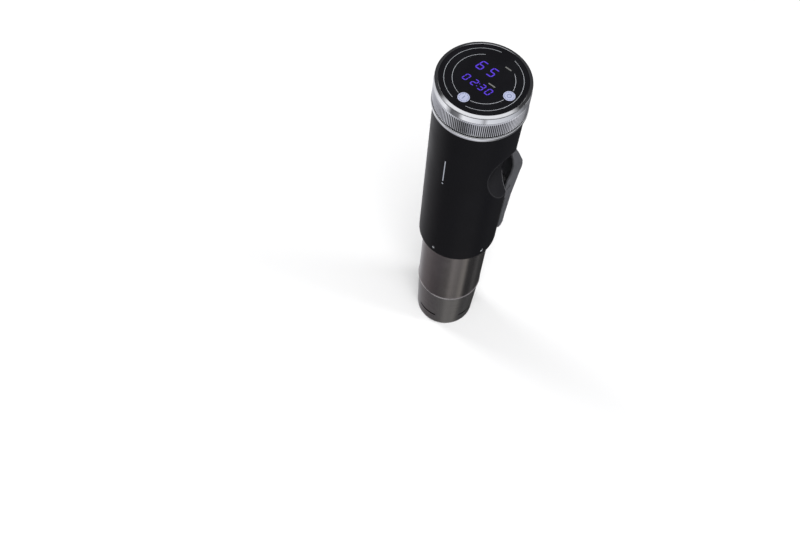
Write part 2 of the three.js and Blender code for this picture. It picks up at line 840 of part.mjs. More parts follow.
function buildElectronics() {
  const boardBack = channelFloor - bodyWall - mainBoardRoom;
  const boardFront = boardBack - boardThickness;
  const partBack = boardFront - seatGap;
  const low = channelBottom + mainBoardFoot;
  const onBoard = ({ across, deep, up }) => block(across, [partBack - deep, partBack],
    up.map((height) => low + height));
  addPart('main_board', block([-mainBoardHalf, mainBoardHalf], [boardFront, boardBack],
    [low, channelTop + mainBoardHead]), finishes.board);
  addPart('relay', onBoard(relayPlace), finishes.blackPlastic);
  addPart('transformer', onBoard(transformerPlace), finishes.magnet);
  addPart('capacitor', rodAlongY(capacitorPlace.across, low + capacitorPlace.up,
    capacitorPlace.radius, partBack - capacitorPlace.deep, partBack), finishes.greyPlastic);
  const fins = Array.from({ length: finPlace.count }, (_, i) => {
    const left = sinkPlace.across[0] + finPlace.pitch * i;
    return onBoard({
      across: [left, left + finPlace.thickness],
      deep: finPlace.deep,
      up: sinkPlace.up,
    });
  });
  addPart('heat_sink', unite([onBoard(sinkPlace), ...fins]), finishes.aluminium);
  addPart('triac', onBoard(triacPlace), finishes.blackPlastic);
  addPart('power_terminal', onBoard(terminalPlace), finishes.whitePlastic);

  const flangeBack = bodyRadius + seatGap;
  const gland = revolve([
    [glandBore, bodyBore - glandRoot],
    [glandRadius, bodyBore - glandRoot],
    [glandRadius, flangeBack],
    [glandRadius + glandFlange, flangeBack],
    [glandRadius + glandFlange, flangeBack + glandFlangeDepth],
    [glandRadius, flangeBack + glandFlangeDepth + seatGap],
    [glandBore + glandTail, flangeBack + glandLength],
    [glandBore, flangeBack + glandLength],
  ], smallSegments);
  const place = gland.rotate([-90, 0, 0]).translate([0, 0, glandHeight]);
  addPart('cord_gland', place, finishes.rubber);
}

// -------------------------------------------------------------------- pump, motor and heater

function buildDrive() {
  const [legX, legY] = polar(coilLegRadius, coilLegAngle);
  const leadAngle = coilLegAngle + coilLeadAngle;
  const [endX, endY] = polar(coilRadius, leadAngle + coilTurns * 360);
  const [probeX, probeY] = polar(probeCircle, probeAngle);
  const terminalTop = bulkheadTop + terminalLength;

  const flangeRadius = bodyBore - seatGap;
  const middle = (bulkheadBottom + bulkheadTop) / 2;
  const grooveHalf = sealRadius + seatGap;
  const grooveRadius = flangeRadius - 2 * sealRadius - seatGap;
  const flange = revolve([
    [0, bulkheadBottom],
    [flangeRadius, bulkheadBottom],
    [flangeRadius, middle - grooveHalf],
    [grooveRadius, middle - grooveHalf],
    [grooveRadius, middle + grooveHalf],
    [flangeRadius, middle + grooveHalf],
    [flangeRadius, bulkheadTop],
    [0, bulkheadTop],
  ], innerSegments);
  const collar = ring(collarBore, collarRadius, bulkheadBottom - collarLength, bulkheadBottom + 1);
  const lugs = spread(lugCount).map((angle) => sector(collarRadius - 1, collarRadius + lugDepth,
    lugBottom, lugBottom + lugHeight, angle - lugHalfAngle, angle + lugHalfAngle));
  const passages = [
    post(0, 0, shaftTubeRadius + seatGap, bulkheadBottom - 1, bulkheadTop + 1, 24),
    post(legX, legY, coilTube + seatGap, bulkheadBottom - 1, bulkheadTop + 1),
    post(endX, endY, coilTube + seatGap, bulkheadBottom - 1, bulkheadTop + 1),
    post(probeX, probeY, probeRadius + seatGap, bulkheadBottom - 1, bulkheadTop + 1),
    ...electrodes.map(({ angle }) => {
      const [x, y] = polar(electrodeCircle, angle);
      return post(x, y, electrodeRadius + seatGap, bulkheadBottom - 1, bulkheadTop + 1);
    }),
  ];
  addPart('lower_bulkhead', cut(unite([flange, collar, ...lugs]), passages),
    finishes.blackPlastic);
  const sealGeometry = new THREE.TorusGeometry(flangeRadius - sealRadius, sealRadius, 6, 36);
  sealGeometry.translate(0, 0, middle);
  addPart('bulkhead_seal', toSolid(sealGeometry), finishes.rubber);

  // heating tube: down one leg, outwards, round the coil and up the other leg
  const points = [];
  const legTop = terminalTop;
  const descent = [legTop, legTop - 20, coilBottom + 70, coilBottom + 45, coilBottom + 25,
    coilBottom + 12, coilBottom + 5];
  descent.forEach((z) => points.push(new THREE.Vector3(legX, legY, z)));
  const [turnX, turnY] = polar(coilLegRadius + 2.2, coilLegAngle + 14);
  points.push(new THREE.Vector3(turnX, turnY, coilBottom + 1));
  const stepsPerTurn = 16;
  for (let i = 0; i <= coilTurns * stepsPerTurn; i += 1) {
    const [x, y] = polar(coilRadius, leadAngle + (360 / stepsPerTurn) * i);
    points.push(new THREE.Vector3(x, y, coilBottom + (coilPitch / stepsPerTurn) * i));
  }
  const coilTop = coilBottom + coilPitch * coilTurns;
  [7, 14, 24, 36, 50].forEach((rise) => points.push(new THREE.Vector3(endX, endY, coilTop + rise)));
  points.push(new THREE.Vector3(endX, endY, legTop));
  addPart('heater_element', wire(points, coilTube, 84, 3), finishes.steel);

  addPart('temperature_probe', post(probeX, probeY, probeRadius, coilBottom, terminalTop),
    finishes.steel);
  electrodes.forEach(({ place, angle, rise }) => {
    const [x, y] = polar(electrodeCircle, angle);
    addPart(`level_electrode_${place}`, post(x, y, electrodeRadius, coilBottom + rise, terminalTop),
      finishes.steel);
  });

  const tubeBore = shaftTubeRadius - shaftTubeWall;
  addPart('shaft_tube', ring(tubeBore, shaftTubeRadius, shaftTubeBottom, bulkheadTop, 24),
    finishes.steel);
  const bushPlaces = [['lower', shaftTubeBottom], ['upper', bulkheadBottom - bushLength]];
  bushPlaces.forEach(([place, bottom]) => {
    addPart(`shaft_bush_${place}`, ring(shaftRadius + runGap, tubeBore - seatGap, bottom,
      bottom + bushLength, 24), finishes.brass);
  });
  addPart('shaft_seal', ring(shaftRadius + runGap, shaftTubeRadius + 0.6, cradleBottom,
    cradleBottom + shaftSealHeight, 24), finishes.rubber);

  // moving set: shaft, impeller, rotor and fan
  const fanTop = fanBottom + fanHeight;
  addPart('drive_shaft', post(0, 0, shaftRadius, impellerBottom + 1, fanTop + 0.6),
    finishes.steel);
  const hubBore = post(0, 0, shaftRadius + seatGap, impellerBottom + 1 - seatGap, fanTop + 9);
  const blades = spread(impellerBlades).map((angle) => {
    const geometry = new THREE.BoxGeometry(impellerRadius - 2, bladeThickness, impellerHeight - 2);
    geometry.translate((impellerRadius + 2) / 2, bladeShift, impellerBottom + impellerHeight / 2);
    geometry.rotateZ(THREE.MathUtils.degToRad(angle));
    return toSolid(geometry);
  });
  const backPlate = disc(impellerRadius, impellerTop - 2, impellerTop - 2 + impellerPlate, 32);
  const hub = disc(impellerHub, impellerBottom, impellerTop, 24);
  addPart('impeller', cut(unite([hub, backPlate, ...blades]), [hubBore]), finishes.greyPlastic);
  const rotorBottom = motorBottom + rotorInset;
  const rotorTop = motorTop - rotorInset;
  addPart('motor_rotor', ring(shaftRadius + seatGap, motorRadius - motorWall - rotorGap,
    rotorBottom, rotorTop, 24), finishes.magnet);
  const fanVanes = spread(fanBlades).map((angle) => {
    const geometry = new THREE.BoxGeometry(fanRadius - 4, bladeThickness, fanHeight);
    geometry.rotateX(THREE.MathUtils.degToRad(fanPitch));
    geometry.translate((fanRadius + 4) / 2, 0, fanBottom + fanHeight / 2);
    geometry.rotateZ(THREE.MathUtils.degToRad(angle));
    return toSolid(geometry);
  });
  addPart('cooling_fan', cut(unite([disc(fanHub, fanBottom, fanTop, 24), ...fanVanes]), [hubBore]),
    finishes.greyPlastic);

  // fixed motor parts
  const cradleTop = cradleBottom + cradleHeight;
  const cradleInner = flangeRadius - 1.5 - cradleWall;
  const plateBottom = cradleTop - 2;
  const cradle = revolve([
    [shaftRadius + 4, plateBottom],
    [cradleInner, plateBottom],
    [cradleInner, cradleBottom],
    [cradleInner + cradleWall, cradleBottom],
    [cradleInner + cradleWall, cradleTop],
    [shaftRadius + 4, cradleTop],
  ], innerSegments);
  addPart('motor_cradle', cradle, finishes.greyPlastic);
  const canBore = motorRadius - motorWall;
  const endBore = shaftRadius + runGap;
  addPart('motor_can', cut(disc(motorRadius, motorBottom, motorTop), [
    disc(canBore, motorBottom + motorWall, motorTop - motorWall),
    disc(endBore, motorBottom - 1, motorTop + 1, smallSegments),
  ]), finishes.steel);
  addPart('motor_magnet', ring(canBore - magnetWall, canBore - seatGap, rotorBottom, rotorTop),
    finishes.magnet);
  const [clipWidth, clipDepth, clipHeight] = clipSize;
  spread(2, 90).forEach((angle, i) => {
    const [x, y] = polar(clipCircle, angle);
    const clip = cut(
      block([x - clipWidth / 2, x + clipWidth / 2], [y - clipDepth / 2, y + clipDepth / 2],
        [motorBottom, motorBottom + clipHeight]),
      [disc(motorRadius + seatGap, motorBottom - 1, motorBottom + clipHeight + 1)],
    );
    addPart(`motor_clip_${i + 1}`, clip, finishes.greyPlastic);
  });
}

buildSkirt();
buildBody();
buildClamp();
buildDial();
buildElectronics();
buildDrive();

export default circulator;
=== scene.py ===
"""The looks of an upright immersion circulator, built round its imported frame.

Each sub-assembly is a class that models its own pieces with Blender's operators and dresses them, each
finish is a small frozen class that builds one procedural material, and the studio holds the floor, the
lights and the camera. Sizes are in millimetres until a mesh is made, and Blender's own units are metres.
"""

import json
import logging
import math
from contextlib import contextmanager
from dataclasses import dataclass, field, replace
from enum import Enum
from typing import Callable, Iterable, Iterator, Sequence

import bmesh
import bpy
from mathutils import Matrix, Vector


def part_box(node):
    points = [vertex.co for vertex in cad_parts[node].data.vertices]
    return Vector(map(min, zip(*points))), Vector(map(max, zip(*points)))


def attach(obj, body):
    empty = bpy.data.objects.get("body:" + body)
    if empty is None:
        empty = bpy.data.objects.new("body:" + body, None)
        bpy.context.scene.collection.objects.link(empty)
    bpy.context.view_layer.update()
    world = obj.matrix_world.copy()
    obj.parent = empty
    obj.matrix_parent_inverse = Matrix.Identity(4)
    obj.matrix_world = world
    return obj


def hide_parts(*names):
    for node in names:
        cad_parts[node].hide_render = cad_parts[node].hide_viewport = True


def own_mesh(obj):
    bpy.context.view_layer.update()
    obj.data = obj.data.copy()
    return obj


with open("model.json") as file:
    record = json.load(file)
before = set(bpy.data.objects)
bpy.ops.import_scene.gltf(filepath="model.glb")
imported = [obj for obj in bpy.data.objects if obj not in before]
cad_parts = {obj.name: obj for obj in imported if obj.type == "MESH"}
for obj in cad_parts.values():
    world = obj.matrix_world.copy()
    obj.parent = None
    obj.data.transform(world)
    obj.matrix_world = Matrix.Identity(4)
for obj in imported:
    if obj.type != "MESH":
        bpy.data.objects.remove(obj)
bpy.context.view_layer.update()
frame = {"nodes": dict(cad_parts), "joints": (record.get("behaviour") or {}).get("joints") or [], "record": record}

LOG = logging.getLogger("circulator")
MM = 0.001
FRONT = -90.0
RIGHT = 0.0
BACK = 90.0
MERGE_DISTANCE = 1e-6
Outline = Sequence[tuple[float, float]]
Colour = tuple[float, float, float]


class Body(Enum):
    """The rigid bodies of the frame that new pieces ride on."""

    HOUSING = "housing"
    DIAL = "dial"
    CLAMP = "clamp"
    SKIRT = "skirt"


# ------------------------------------------------------------------------------------ shader maths


class Sock:
    """A socket in a shader tree, with the arithmetic that the finishes use."""

    def __init__(self, graph: "Graph", socket: bpy.types.NodeSocket) -> None:
        """Keeps the tree and the socket.

        Args:
            graph: The tree that the socket is in.
            socket: The output socket that is wrapped.
        """
        self.graph = graph
        self.socket = socket

    def _math(self, operation: str, first: "Sock | float", second: "Sock | float") -> "Sock":
        """Adds one Math node.

        Args:
            operation: The node's operation.
            first: Its first value.
            second: Its second value.

        Returns:
            The node's result.
        """
        node = self.graph.node("ShaderNodeMath", {"operation": operation}, {0: first, 1: second})
        return Sock(self.graph, node.outputs[0])

    def __add__(self, other: "Sock | float") -> "Sock":
        """This value plus another."""
        return self._math("ADD", self, other)

    def __rsub__(self, other: float) -> "Sock":
        """A number less this value."""
        return self._math("SUBTRACT", other, self)

    def __mul__(self, other: "Sock | float") -> "Sock":
        """This value times another."""
        return self._math("MULTIPLY", self, other)

    __radd__ = __add__
    __rmul__ = __mul__


class Graph:
    """One material's node tree, with a Principled shader at its end."""

    def __init__(self, name: str) -> None:
        """Starts a material.

        Args:
            name: The material's name.
        """
        self.material = bpy.data.materials.new(name)
        self.material.use_nodes = True
        self.tree = self.material.node_tree
        self.shader = self.tree.nodes["Principled BSDF"]

    def node(
        self,
        kind: str,
        settings: dict[str, object] | None = None,
        inputs: dict[int | str, object] | None = None,
    ) -> bpy.types.Node:
        """Adds a node.

        Args:
            kind: The node's type.
            settings: Its own settings, which are set first.
            inputs: Values or links by socket name or number.

        Returns:
            The new node.
        """
        node = self.tree.nodes.new(kind)
        for key, value in (settings or {}).items():
            setattr(node, key, value)
        for key, value in (inputs or {}).items():
            self.feed(node, key, value)
        return node

    def feed(self, node: bpy.types.Node, key: int | str, value: object) -> None:
        """Links or sets one input.

        Args:
            node: The node.
            key: The input's name or number.
            value: A wrapped socket, which is linked, or a plain value, which is set.
        """
        if isinstance(value, Sock):
            self.tree.links.new(value.socket, node.inputs[key])
        else:
            node.inputs[key].default_value = value

    def place(self, stretch: Sequence[float] = (1.0, 1.0, 1.0)) -> Sock:
        """The point on the piece, in metres, stretched along each axis.

        Args:
            stretch: How many times closer the pattern comes along X, Y and Z.

        Returns:
            The stretched coordinates.
        """
        coordinates = self.node("ShaderNodeTexCoord")
        mapping = self.node("ShaderNodeMapping", {}, {"Scale": tuple(stretch)})
        self.tree.links.new(coordinates.outputs["Object"], mapping.inputs["Vector"])
        return Sock(self, mapping.outputs["Vector"])

    def axis(self, name: str) -> Sock:
        """How far along one axis the point is.

        Args:
            name: X, Y or Z.

        Returns:
            The distance in metres.
        """
        axes = self.node("ShaderNodeSeparateXYZ", {}, {0: self.place()})
        return Sock(self, axes.outputs[name])

    def length(self, vector: Sock) -> Sock:
        """How long a vector is.

        Args:
            vector: The vector.

        Returns:
            Its length.
        """
        node = self.node("ShaderNodeVectorMath", {"operation": "LENGTH"}, {0: vector})
        return Sock(self, node.outputs["Value"])

    def reach(self, taper: float = 0.0) -> Sock:
        """How far the point is from the tube's axis.

        Args:
            taper: What is added for each metre of height.

        Returns:
            The distance in metres.
        """
        return self.length(self.place((1.0, 1.0, 0.0))) + taper * self.axis("Z")

    def in_scoop(self, place: Sequence[float], tilt: float, size: Sequence[float]) -> Sock:
        """How far the point is from the middle of a scoop's form, the same on both sides.

        Args:
            place: The middle of the right-hand form, in metres.
            tilt: Its turn about X.
            size: Its three radii, in metres.

        Returns:
            The distance, which is 1 on the form's surface.
        """
        across = self.node("ShaderNodeMath", {"operation": "ABSOLUTE"}, {0: self.axis("X")})
        parts = {"X": Sock(self, across.outputs[0]), "Y": self.axis("Y"), "Z": self.axis("Z")}
        point = self.node("ShaderNodeCombineXYZ", {}, parts)
        inputs = {
            "Vector": Sock(self, point.outputs[0]),
            "Location": place,
            "Rotation": (tilt, 0.0, 0.0),
            "Scale": size,
        }
        form = self.node("ShaderNodeMapping", {"vector_type": "TEXTURE"}, inputs)
        return self.length(Sock(self, form.outputs[0]))

    def noise(self, where: Sock, scale: float, detail: float = 3.0, rough: float = 0.5) -> Sock:
        """Smooth noise from 0 to 1.

        Args:
            where: The coordinates.
            scale: The number of features in a metre.
            detail: The number of finer octaves.
            rough: How strong the finer octaves are.

        Returns:
            The noise value.
        """
        values = {"Vector": where, "Scale": scale, "Detail": detail, "Roughness": rough}
        return Sock(self, self.node("ShaderNodeTexNoise", {}, values).outputs["Fac"])

    def span(self, value: Sock, low: float, high: float, bottom: float = 0.0, top: float = 1.0) -> Sock:
        """Maps a range of a value to another, clamped.

        Args:
            value: The value.
            low: Where the range starts.
            high: Where it ends.
            bottom: What the start becomes.
            top: What the end becomes.

        Returns:
            The mapped value.
        """
        values = {"Value": value, "From Min": low, "From Max": high, "To Min": bottom, "To Max": top}
        return Sock(self, self.node("ShaderNodeMapRange", {"clamp": True}, values).outputs[0])

    def blend(self, factor: Sock, first: Colour | Sock, second: Colour) -> Sock:
        """Mixes two colours.

        Args:
            factor: 0 for the first colour, 1 for the second.
            first: The first colour, plain or patterned.
            second: The second colour.

        Returns:
            The mixed colour.
        """
        settings = {"data_type": "RGBA"}
        start = first if isinstance(first, Sock) else (*first, 1.0)
        values = {"Factor": factor, 6: start, 7: (*second, 1.0)}
        node = self.node("ShaderNodeMix", settings, values)
        return Sock(self, node.outputs[2])

    def bump(self, height: Sock, depth: float, strength: float = 1.0) -> Sock:
        """Turns a height into a normal.

        Args:
            height: The height from 0 to 1.
            depth: What a height of 1 is, in metres.
            strength: How much of the bump is used.

        Returns:
            The normal.
        """
        values = {"Height": height, "Distance": depth, "Strength": strength}
        return Sock(self, self.node("ShaderNodeBump", {}, values).outputs["Normal"])

    def set(self, **values: object) -> None:
        """Sets or links the shader's inputs.

        Args:
            **values: Values or links by input name, with _ for a space.
        """
        for key, value in values.items():
            self.feed(self.shader, key.replace("_", " "), value)


# ---------------------------------------------------------------------------------------- finishes


@dataclass(frozen=True)
class Finish:
    """A surface finish: an even Principled material, which a subclass adds its pattern to."""

    name: str
    slot: str
    colour: Colour
    roughness: float
    metallic: float = 0.0
    coat: float = 0.0
    specular: float = 0.5

    def material(self) -> bpy.types.Material:
        """Builds the material, or finds it when it is built already.

        Returns:
            The material.
        """
        known = bpy.data.materials.get(self.name)
        if known:
            return known
        graph = Graph(self.name)
        graph.set(
            Base_Color=(*self.colour, 1.0),
            Roughness=self.roughness,
            Metallic=self.metallic,
            Coat_Weight=self.coat,
            Specular_IOR_Level=self.specular,
        )
        self.pattern(graph)
        return graph.material

    def pattern(self, graph: Graph) -> None:
        """Adds what varies over the surface.

        Args:
            graph: The material's tree.
        """

    def shade(self, factor: float) -> Colour:
        """The finish's colour, lighter or darker.

        Args:
            factor: What each channel is multiplied by.

        Returns:
            The new colour.
        """
        red, green, blue = self.colour
        return (red * factor, green * factor, blue * factor)


@dataclass(frozen=True)
class MouldedPlastic(Finish):
    """Moulded plastic with a fine spark-eroded grain and faint rubbed patches."""

    grain: float = 2600.0
    grain_depth: float = 0.00003

    def pattern(self, graph: Graph) -> None:
        """Adds the grain and the patches.

        Args:
            graph: The material's tree.
        """
        place = graph.place()
        grain = graph.noise(place, self.grain, 2.0)
        patches = graph.noise(place, 28.0, 4.0, 0.6)
        rubbed = graph.span(patches, 0.42, 0.68)
        colour = graph.blend(rubbed, self.shade(0.88), self.shade(1.15))
        graph.set(
            Base_Color=self.painted_highlights(graph, colour),
            Roughness=self.roughness + 0.07 * (1 - rubbed) + 0.05 * grain,
            Normal=graph.bump(grain, self.grain_depth, 0.35),
        )

    def painted_highlights(self, graph: Graph, colour: Sock) -> Sock:
        """Adds painted highlights to the colour. Plain plastic has none.

        Args:
            graph: The material's tree.
            colour: The colour without painted highlights.

        Returns:
            The colour.
        """
        return colour


@dataclass(frozen=True)
class HighlightedPlastic(MouldedPlastic):
    """Moulded plastic with painted highlight lines along the edges of its scoops and down the front of its side
    cut.
    """

    radius: float = 0.0
    cut: float = 0.0
    low: float = 0.0
    high: float = 0.0
    place: tuple[float, ...] = (0.0, 0.0, 0.0)
    tilt: float = 0.0
    size: tuple[float, ...] = (1.0, 1.0, 1.0)
    # rim and edge are painted highlight colours: rim for the line round each scoop, edge for the line down the
    # side cut
    rim: Colour = (0.016, 0.016, 0.018)
    edge: Colour = (0.075, 0.075, 0.08)
    rim_depth: float = 0.0004
    edge_width: float = 0.0009
    edge_end: tuple[float, float] = (0.00005, 0.00001)
    feather: float = 0.0002

    def painted_highlights(self, graph: Graph, colour: Sock) -> Sock:
        """Paints a faint highlight line round each scoop and a paler painted highlight down the front of the side
        cut.

        Args:
            graph: The material's tree.
            colour: The colour without painted highlights.

        Returns:
            The colour with painted highlights.
        """
        outer = graph.span(graph.reach(), self.radius - self.rim_depth, self.radius - self.rim_depth / 4)
        near = graph.span(graph.in_scoop(self.place, self.tilt, self.size), 1.001, 1.004, 1.0, 0.0)
        height, depth = graph.axis("Z"), graph.axis("Y")
        above = graph.span(height, self.low, self.low + self.feather)
        below = graph.span(height, self.high - self.feather, self.high, 1.0, 0.0)
        start = graph.span(depth, self.cut - self.edge_width, self.cut - self.edge_width / 1.5)
        end = graph.span(depth, self.cut - self.edge_end[0], self.cut - self.edge_end[1], 1.0, 0.0)
        # painted highlight: a pale line where the tube meets each scoop, and a paler one down the front of the
        # side cut
        rim_highlighted = graph.blend(outer * near, colour, self.rim)
        return graph.blend(above * below * start * end, rim_highlighted, self.edge)


@dataclass(frozen=True)
class BrushedSteel(Finish):
    """Stainless steel brushed round its tube, with fine lines and water spots."""

    line_count: float = 5200.0
    line_depth: float = 0.000012
    wear: float = 0.02

    def pattern(self, graph: Graph) -> None:
        """Adds the brushed lines and the spots.

        Args:
            graph: The material's tree.
        """
        lines = graph.noise(graph.place((0.012, 0.012, 1.0)), self.line_count, 3.0, 0.7)
        coarse = graph.noise(graph.place((0.03, 0.03, 1.0)), self.line_count / 9, 2.0, 0.6)
        spots = graph.noise(graph.place(), 75.0, 5.0, 0.62)
        stained = graph.span(spots, 0.5, 0.72)
        streak = 0.7 * lines + 0.3 * coarse
        graph.set(
            Base_Color=graph.blend(graph.span(streak, 0.3, 0.7), self.shade(0.86), self.shade(1.08)),
            Roughness=self.roughness + self.wear * stained + 0.09 * lines,
            Normal=graph.bump(streak, self.line_depth, 0.8),
        )


@dataclass(frozen=True)
class PolishedMetal(Finish):
    """Plated or polished metal with a trace of haze and hairline scratches."""

    haze: float = 0.05

    def pattern(self, graph: Graph) -> None:
        """Adds the haze and the scratches.

        Args:
            graph: The material's tree.
        """
        smears = graph.span(graph.noise(graph.place(), 60.0, 4.0, 0.6), 0.45, 0.75)
        hairs = graph.noise(graph.place((0.05, 0.05, 1.0)), 3800.0, 2.0)
        graph.set(
            Base_Color=graph.blend(smears, self.colour, self.shade(0.92)),
            Roughness=self.roughness + self.haze * smears + 0.03 * hairs,
            Normal=graph.bump(hairs, 0.000004, 0.5),
        )


@dataclass(frozen=True)
class KnurledMetal(PolishedMetal):
    """Plated metal with painted shade in its grooves, from root to crest and up to a given height."""

    root: float = 0.0
    crest: float = 0.0
    top: float = 0.0
    painted_groove_shade: float = 0.05

    def pattern(self, graph: Graph) -> None:
        """Adds the haze, then paints shade into the grooves.

        Args:
            graph: The material's tree.
        """
        super().pattern(graph)
        above = graph.span(graph.axis("Z"), self.top, self.top + 0.0001)
        raised = graph.span(graph.reach(), self.root, self.crest) + above
        # painted shade: the grooves go dark and rougher towards their root, up to the given height
        graph.set(
            Base_Color=graph.blend(raised, self.shade(self.painted_groove_shade), self.colour),
            Roughness=graph.span(raised, 0.0, 1.0, self.roughness + 0.3, self.roughness),
        )


@dataclass(frozen=True)
class TaperedSteel(BrushedSteel):
    """Brushed steel of a tapered cup, with painted shade on the inside of its wall."""

    skin: float = 0.0
    taper: float = 0.0
    floor: float = 0.003
    # scale is how dark the painted shade on the inner wall is, as a share of the colour
    scale: float = 0.03
    wall: tuple[float, float] = (0.00018, 0.0001)

    def pattern(self, graph: Graph) -> None:
        """Adds the brushing, then paints shade on the inner wall, above its lowest few millimetres.

        Args:
            graph: The material's tree.
        """
        super().pattern(graph)
        inside, outside = self.wall
        outer = graph.span(graph.reach(-self.taper), self.skin - inside, self.skin - outside)
        low = graph.span(graph.axis("Z"), self.floor - 0.0005, self.floor, 1.0, 0.0)
        # painted shade: the inner wall and the slots' lips go nearly black, except near the bottom
        graph.set(Base_Color=graph.blend(outer + low, self.shade(self.scale), self.colour))


@dataclass(frozen=True)
class BlackGlass(Finish):
    """Glass printed black on its back, with faint smears on its polished face."""

    def pattern(self, graph: Graph) -> None:
        """Adds the smears.

        Args:
            graph: The material's tree.
        """
        smears = graph.span(graph.noise(graph.place((1.0, 0.45, 1.0)), 70.0, 5.0, 0.65), 0.46, 0.78)
        graph.set(
            Base_Color=graph.blend(smears, self.colour, self.shade(1.6)),
            Roughness=self.roughness + 0.09 * smears,
        )


@dataclass(frozen=True)
class Glow(Finish):
    """A lit surface, slightly uneven as light behind a diffuser is."""

    strength: float = 2.0
    unlit: float = 0.15

    def pattern(self, graph: Graph) -> None:
        """Adds the light.

        Args:
            graph: The material's tree.
        """
        uneven = graph.noise(graph.place(), 420.0, 2.0)
        graph.set(
            Base_Color=(*self.shade(self.unlit), 1.0),
            Emission_Color=graph.blend(uneven, self.shade(0.8), self.shade(1.1)),
            Emission_Strength=self.strength,
        )


@dataclass(frozen=True)
class SoftRubber(Finish):
    """Silicone rubber with a dusty, slightly mottled surface."""

    def pattern(self, graph: Graph) -> None:
        """Adds the dust and the grain.

        Args:
            graph: The material's tree.
        """
        dust = graph.span(graph.noise(graph.place(), 160.0, 5.0, 0.6), 0.45, 0.75)
        grain = graph.noise(graph.place(), 1800.0, 2.0)
        graph.set(
            Base_Color=graph.blend(dust, self.colour, self.shade(1.7)),
            Roughness=self.roughness + 0.08 * dust,
            Normal=graph.bump(grain, 0.00004, 0.4),
        )


@dataclass(frozen=True)
class CircuitBoard(Finish):
    """A lacquered circuit board with copper tracks under the lacquer."""

    pitch: float = 420.0

    def pattern(self, graph: Graph) -> None:
        """Adds the tracks.

        Args:
            graph: The material's tree.
        """
        settings = {"feature": "DISTANCE_TO_EDGE"}
        cells = graph.node(
            "ShaderNodeTexVoronoi", settings, {"Vector": graph.place(), "Scale": self.pitch}
        )
        track = graph.span(Sock(graph, cells.outputs["Distance"]), 0.04, 0.09)
        graph.set(
            Base_Color=graph.blend(track, self.shade(1.9), self.colour),
            Normal=graph.bump(1 - track, 0.00003, 0.6),
        )


class Finishes:
    """Every finish that the circulator uses."""

    # the body's finish paints highlight lines along its scoop rims and the front of its side cut
    body = HighlightedPlastic("soft touch black with painted edge highlights", "body", (0.0012, 0.0012, 0.0024), 0.32, specular=0.13)
    lever = MouldedPlastic("lever grey", "lever", (0.054, 0.055, 0.061), 0.46)
    inner = MouldedPlastic("inner black plastic", "inner_plastic", (0.02, 0.02, 0.021), 0.5)
    natural = MouldedPlastic("natural plastic", "white_plastic", (0.68, 0.67, 0.62), 0.45)
    panel = BlackGlass("panel glass", "panel_glass", (0.0035, 0.0035, 0.0045), 0.04, coat=1.0)
    ink = MouldedPlastic("printed line", "print", (0.3, 0.31, 0.33), 0.4)
    label = MouldedPlastic("printed label", "print", (0.12, 0.12, 0.115), 0.4)
    digits = Glow("display digits", "display", (0.1, 0.045, 0.62), 0.4, strength=1.0)
    key = Glow("key light", "key_light", (0.46, 0.49, 0.67), 0.4, strength=0.9)
    key_ink = MouldedPlastic("key symbol", "print", (0.1, 0.13, 0.22), 0.5)
    guide = Glow("indicator guide", "indicator", (0.42, 0.44, 0.5), 0.3, strength=0.8)
    chrome = PolishedMetal("chrome plate", "chrome", (0.83, 0.84, 0.86), 0.07, metallic=1.0)
    # the knurl's finish paints shade into its grooves
    knurl = KnurledMetal("knurled chrome", "chrome", (0.83, 0.84, 0.86), 0.07, metallic=1.0)
    steel = BrushedSteel("brushed skirt steel", "steel", (0.5, 0.47, 0.47), 0.13, metallic=1.0)
    # the cap's finish paints shade on the inside of its wall
    cap_steel = TaperedSteel("cap steel", "steel", (0.44, 0.43, 0.425), 0.24, metallic=1.0)
    plain = BrushedSteel("plain steel", "plain_steel", (0.45, 0.45, 0.45), 0.3, metallic=1.0)
    aluminium = BrushedSteel("extruded aluminium", "aluminium", (0.66, 0.67, 0.69), 0.36, metallic=1.0)
    brass = PolishedMetal("brass", "brass", (0.62, 0.42, 0.16), 0.25, metallic=1.0)
    rubber = SoftRubber("black rubber", "rubber", (0.018, 0.018, 0.019), 0.72)
    board = CircuitBoard("circuit board", "board", (0.012, 0.09, 0.035), 0.35, coat=0.5)
    magnet = MouldedPlastic("coated magnet", "magnet", (0.05, 0.05, 0.055), 0.4, metallic=0.6)


# ---------------------------------------------------------------------------- modelling operations


def focus(piece: bpy.types.Object) -> None:
    """Selects one piece and makes it active.

    Args:
        piece: The piece.
    """
    bpy.ops.object.select_all(action="DESELECT")
    piece.select_set(True)
    bpy.context.view_layer.objects.active = piece


def adopt(name: str) -> bpy.types.Object:
    """Names the primitive that was just added and puts its place into its mesh.

    Args:
        name: The piece's name.

    Returns:
        The piece.
    """
    piece = bpy.context.object
    piece.name = name
    piece.data.name = name
    bpy.ops.object.transform_apply(location=True, rotation=True, scale=True)
    return piece


@contextmanager
def editing(piece: bpy.types.Object, kind: str = "VERT") -> Iterator[None]:
    """Opens a piece in edit mode with nothing selected.

    Args:
        piece: The piece.
        kind: What is selected there: VERT, EDGE or FACE.

    Yields:
        Nothing.
    """
    focus(piece)
    bpy.ops.object.mode_set(mode="EDIT")
    bpy.ops.mesh.select_mode(type=kind)
    bpy.ops.mesh.select_all(action="DESELECT")
    try:
        yield
    finally:
        bpy.ops.object.mode_set(mode="OBJECT")


def pick_faces(piece: bpy.types.Object, test: Callable[[Vector, Vector], bool]) -> None:
    """Selects the faces that pass a test, in face mode.

    Args:
        piece: The piece, which is in edit mode.
        test: Takes a face's middle, in millimetres, and its normal.
    """
    mesh = bmesh.from_edit_mesh(piece.data)
    for face in mesh.faces:
        face.select_set(test(face.calc_center_median() / MM, face.normal))
    bmesh.update_edit_mesh(piece.data)


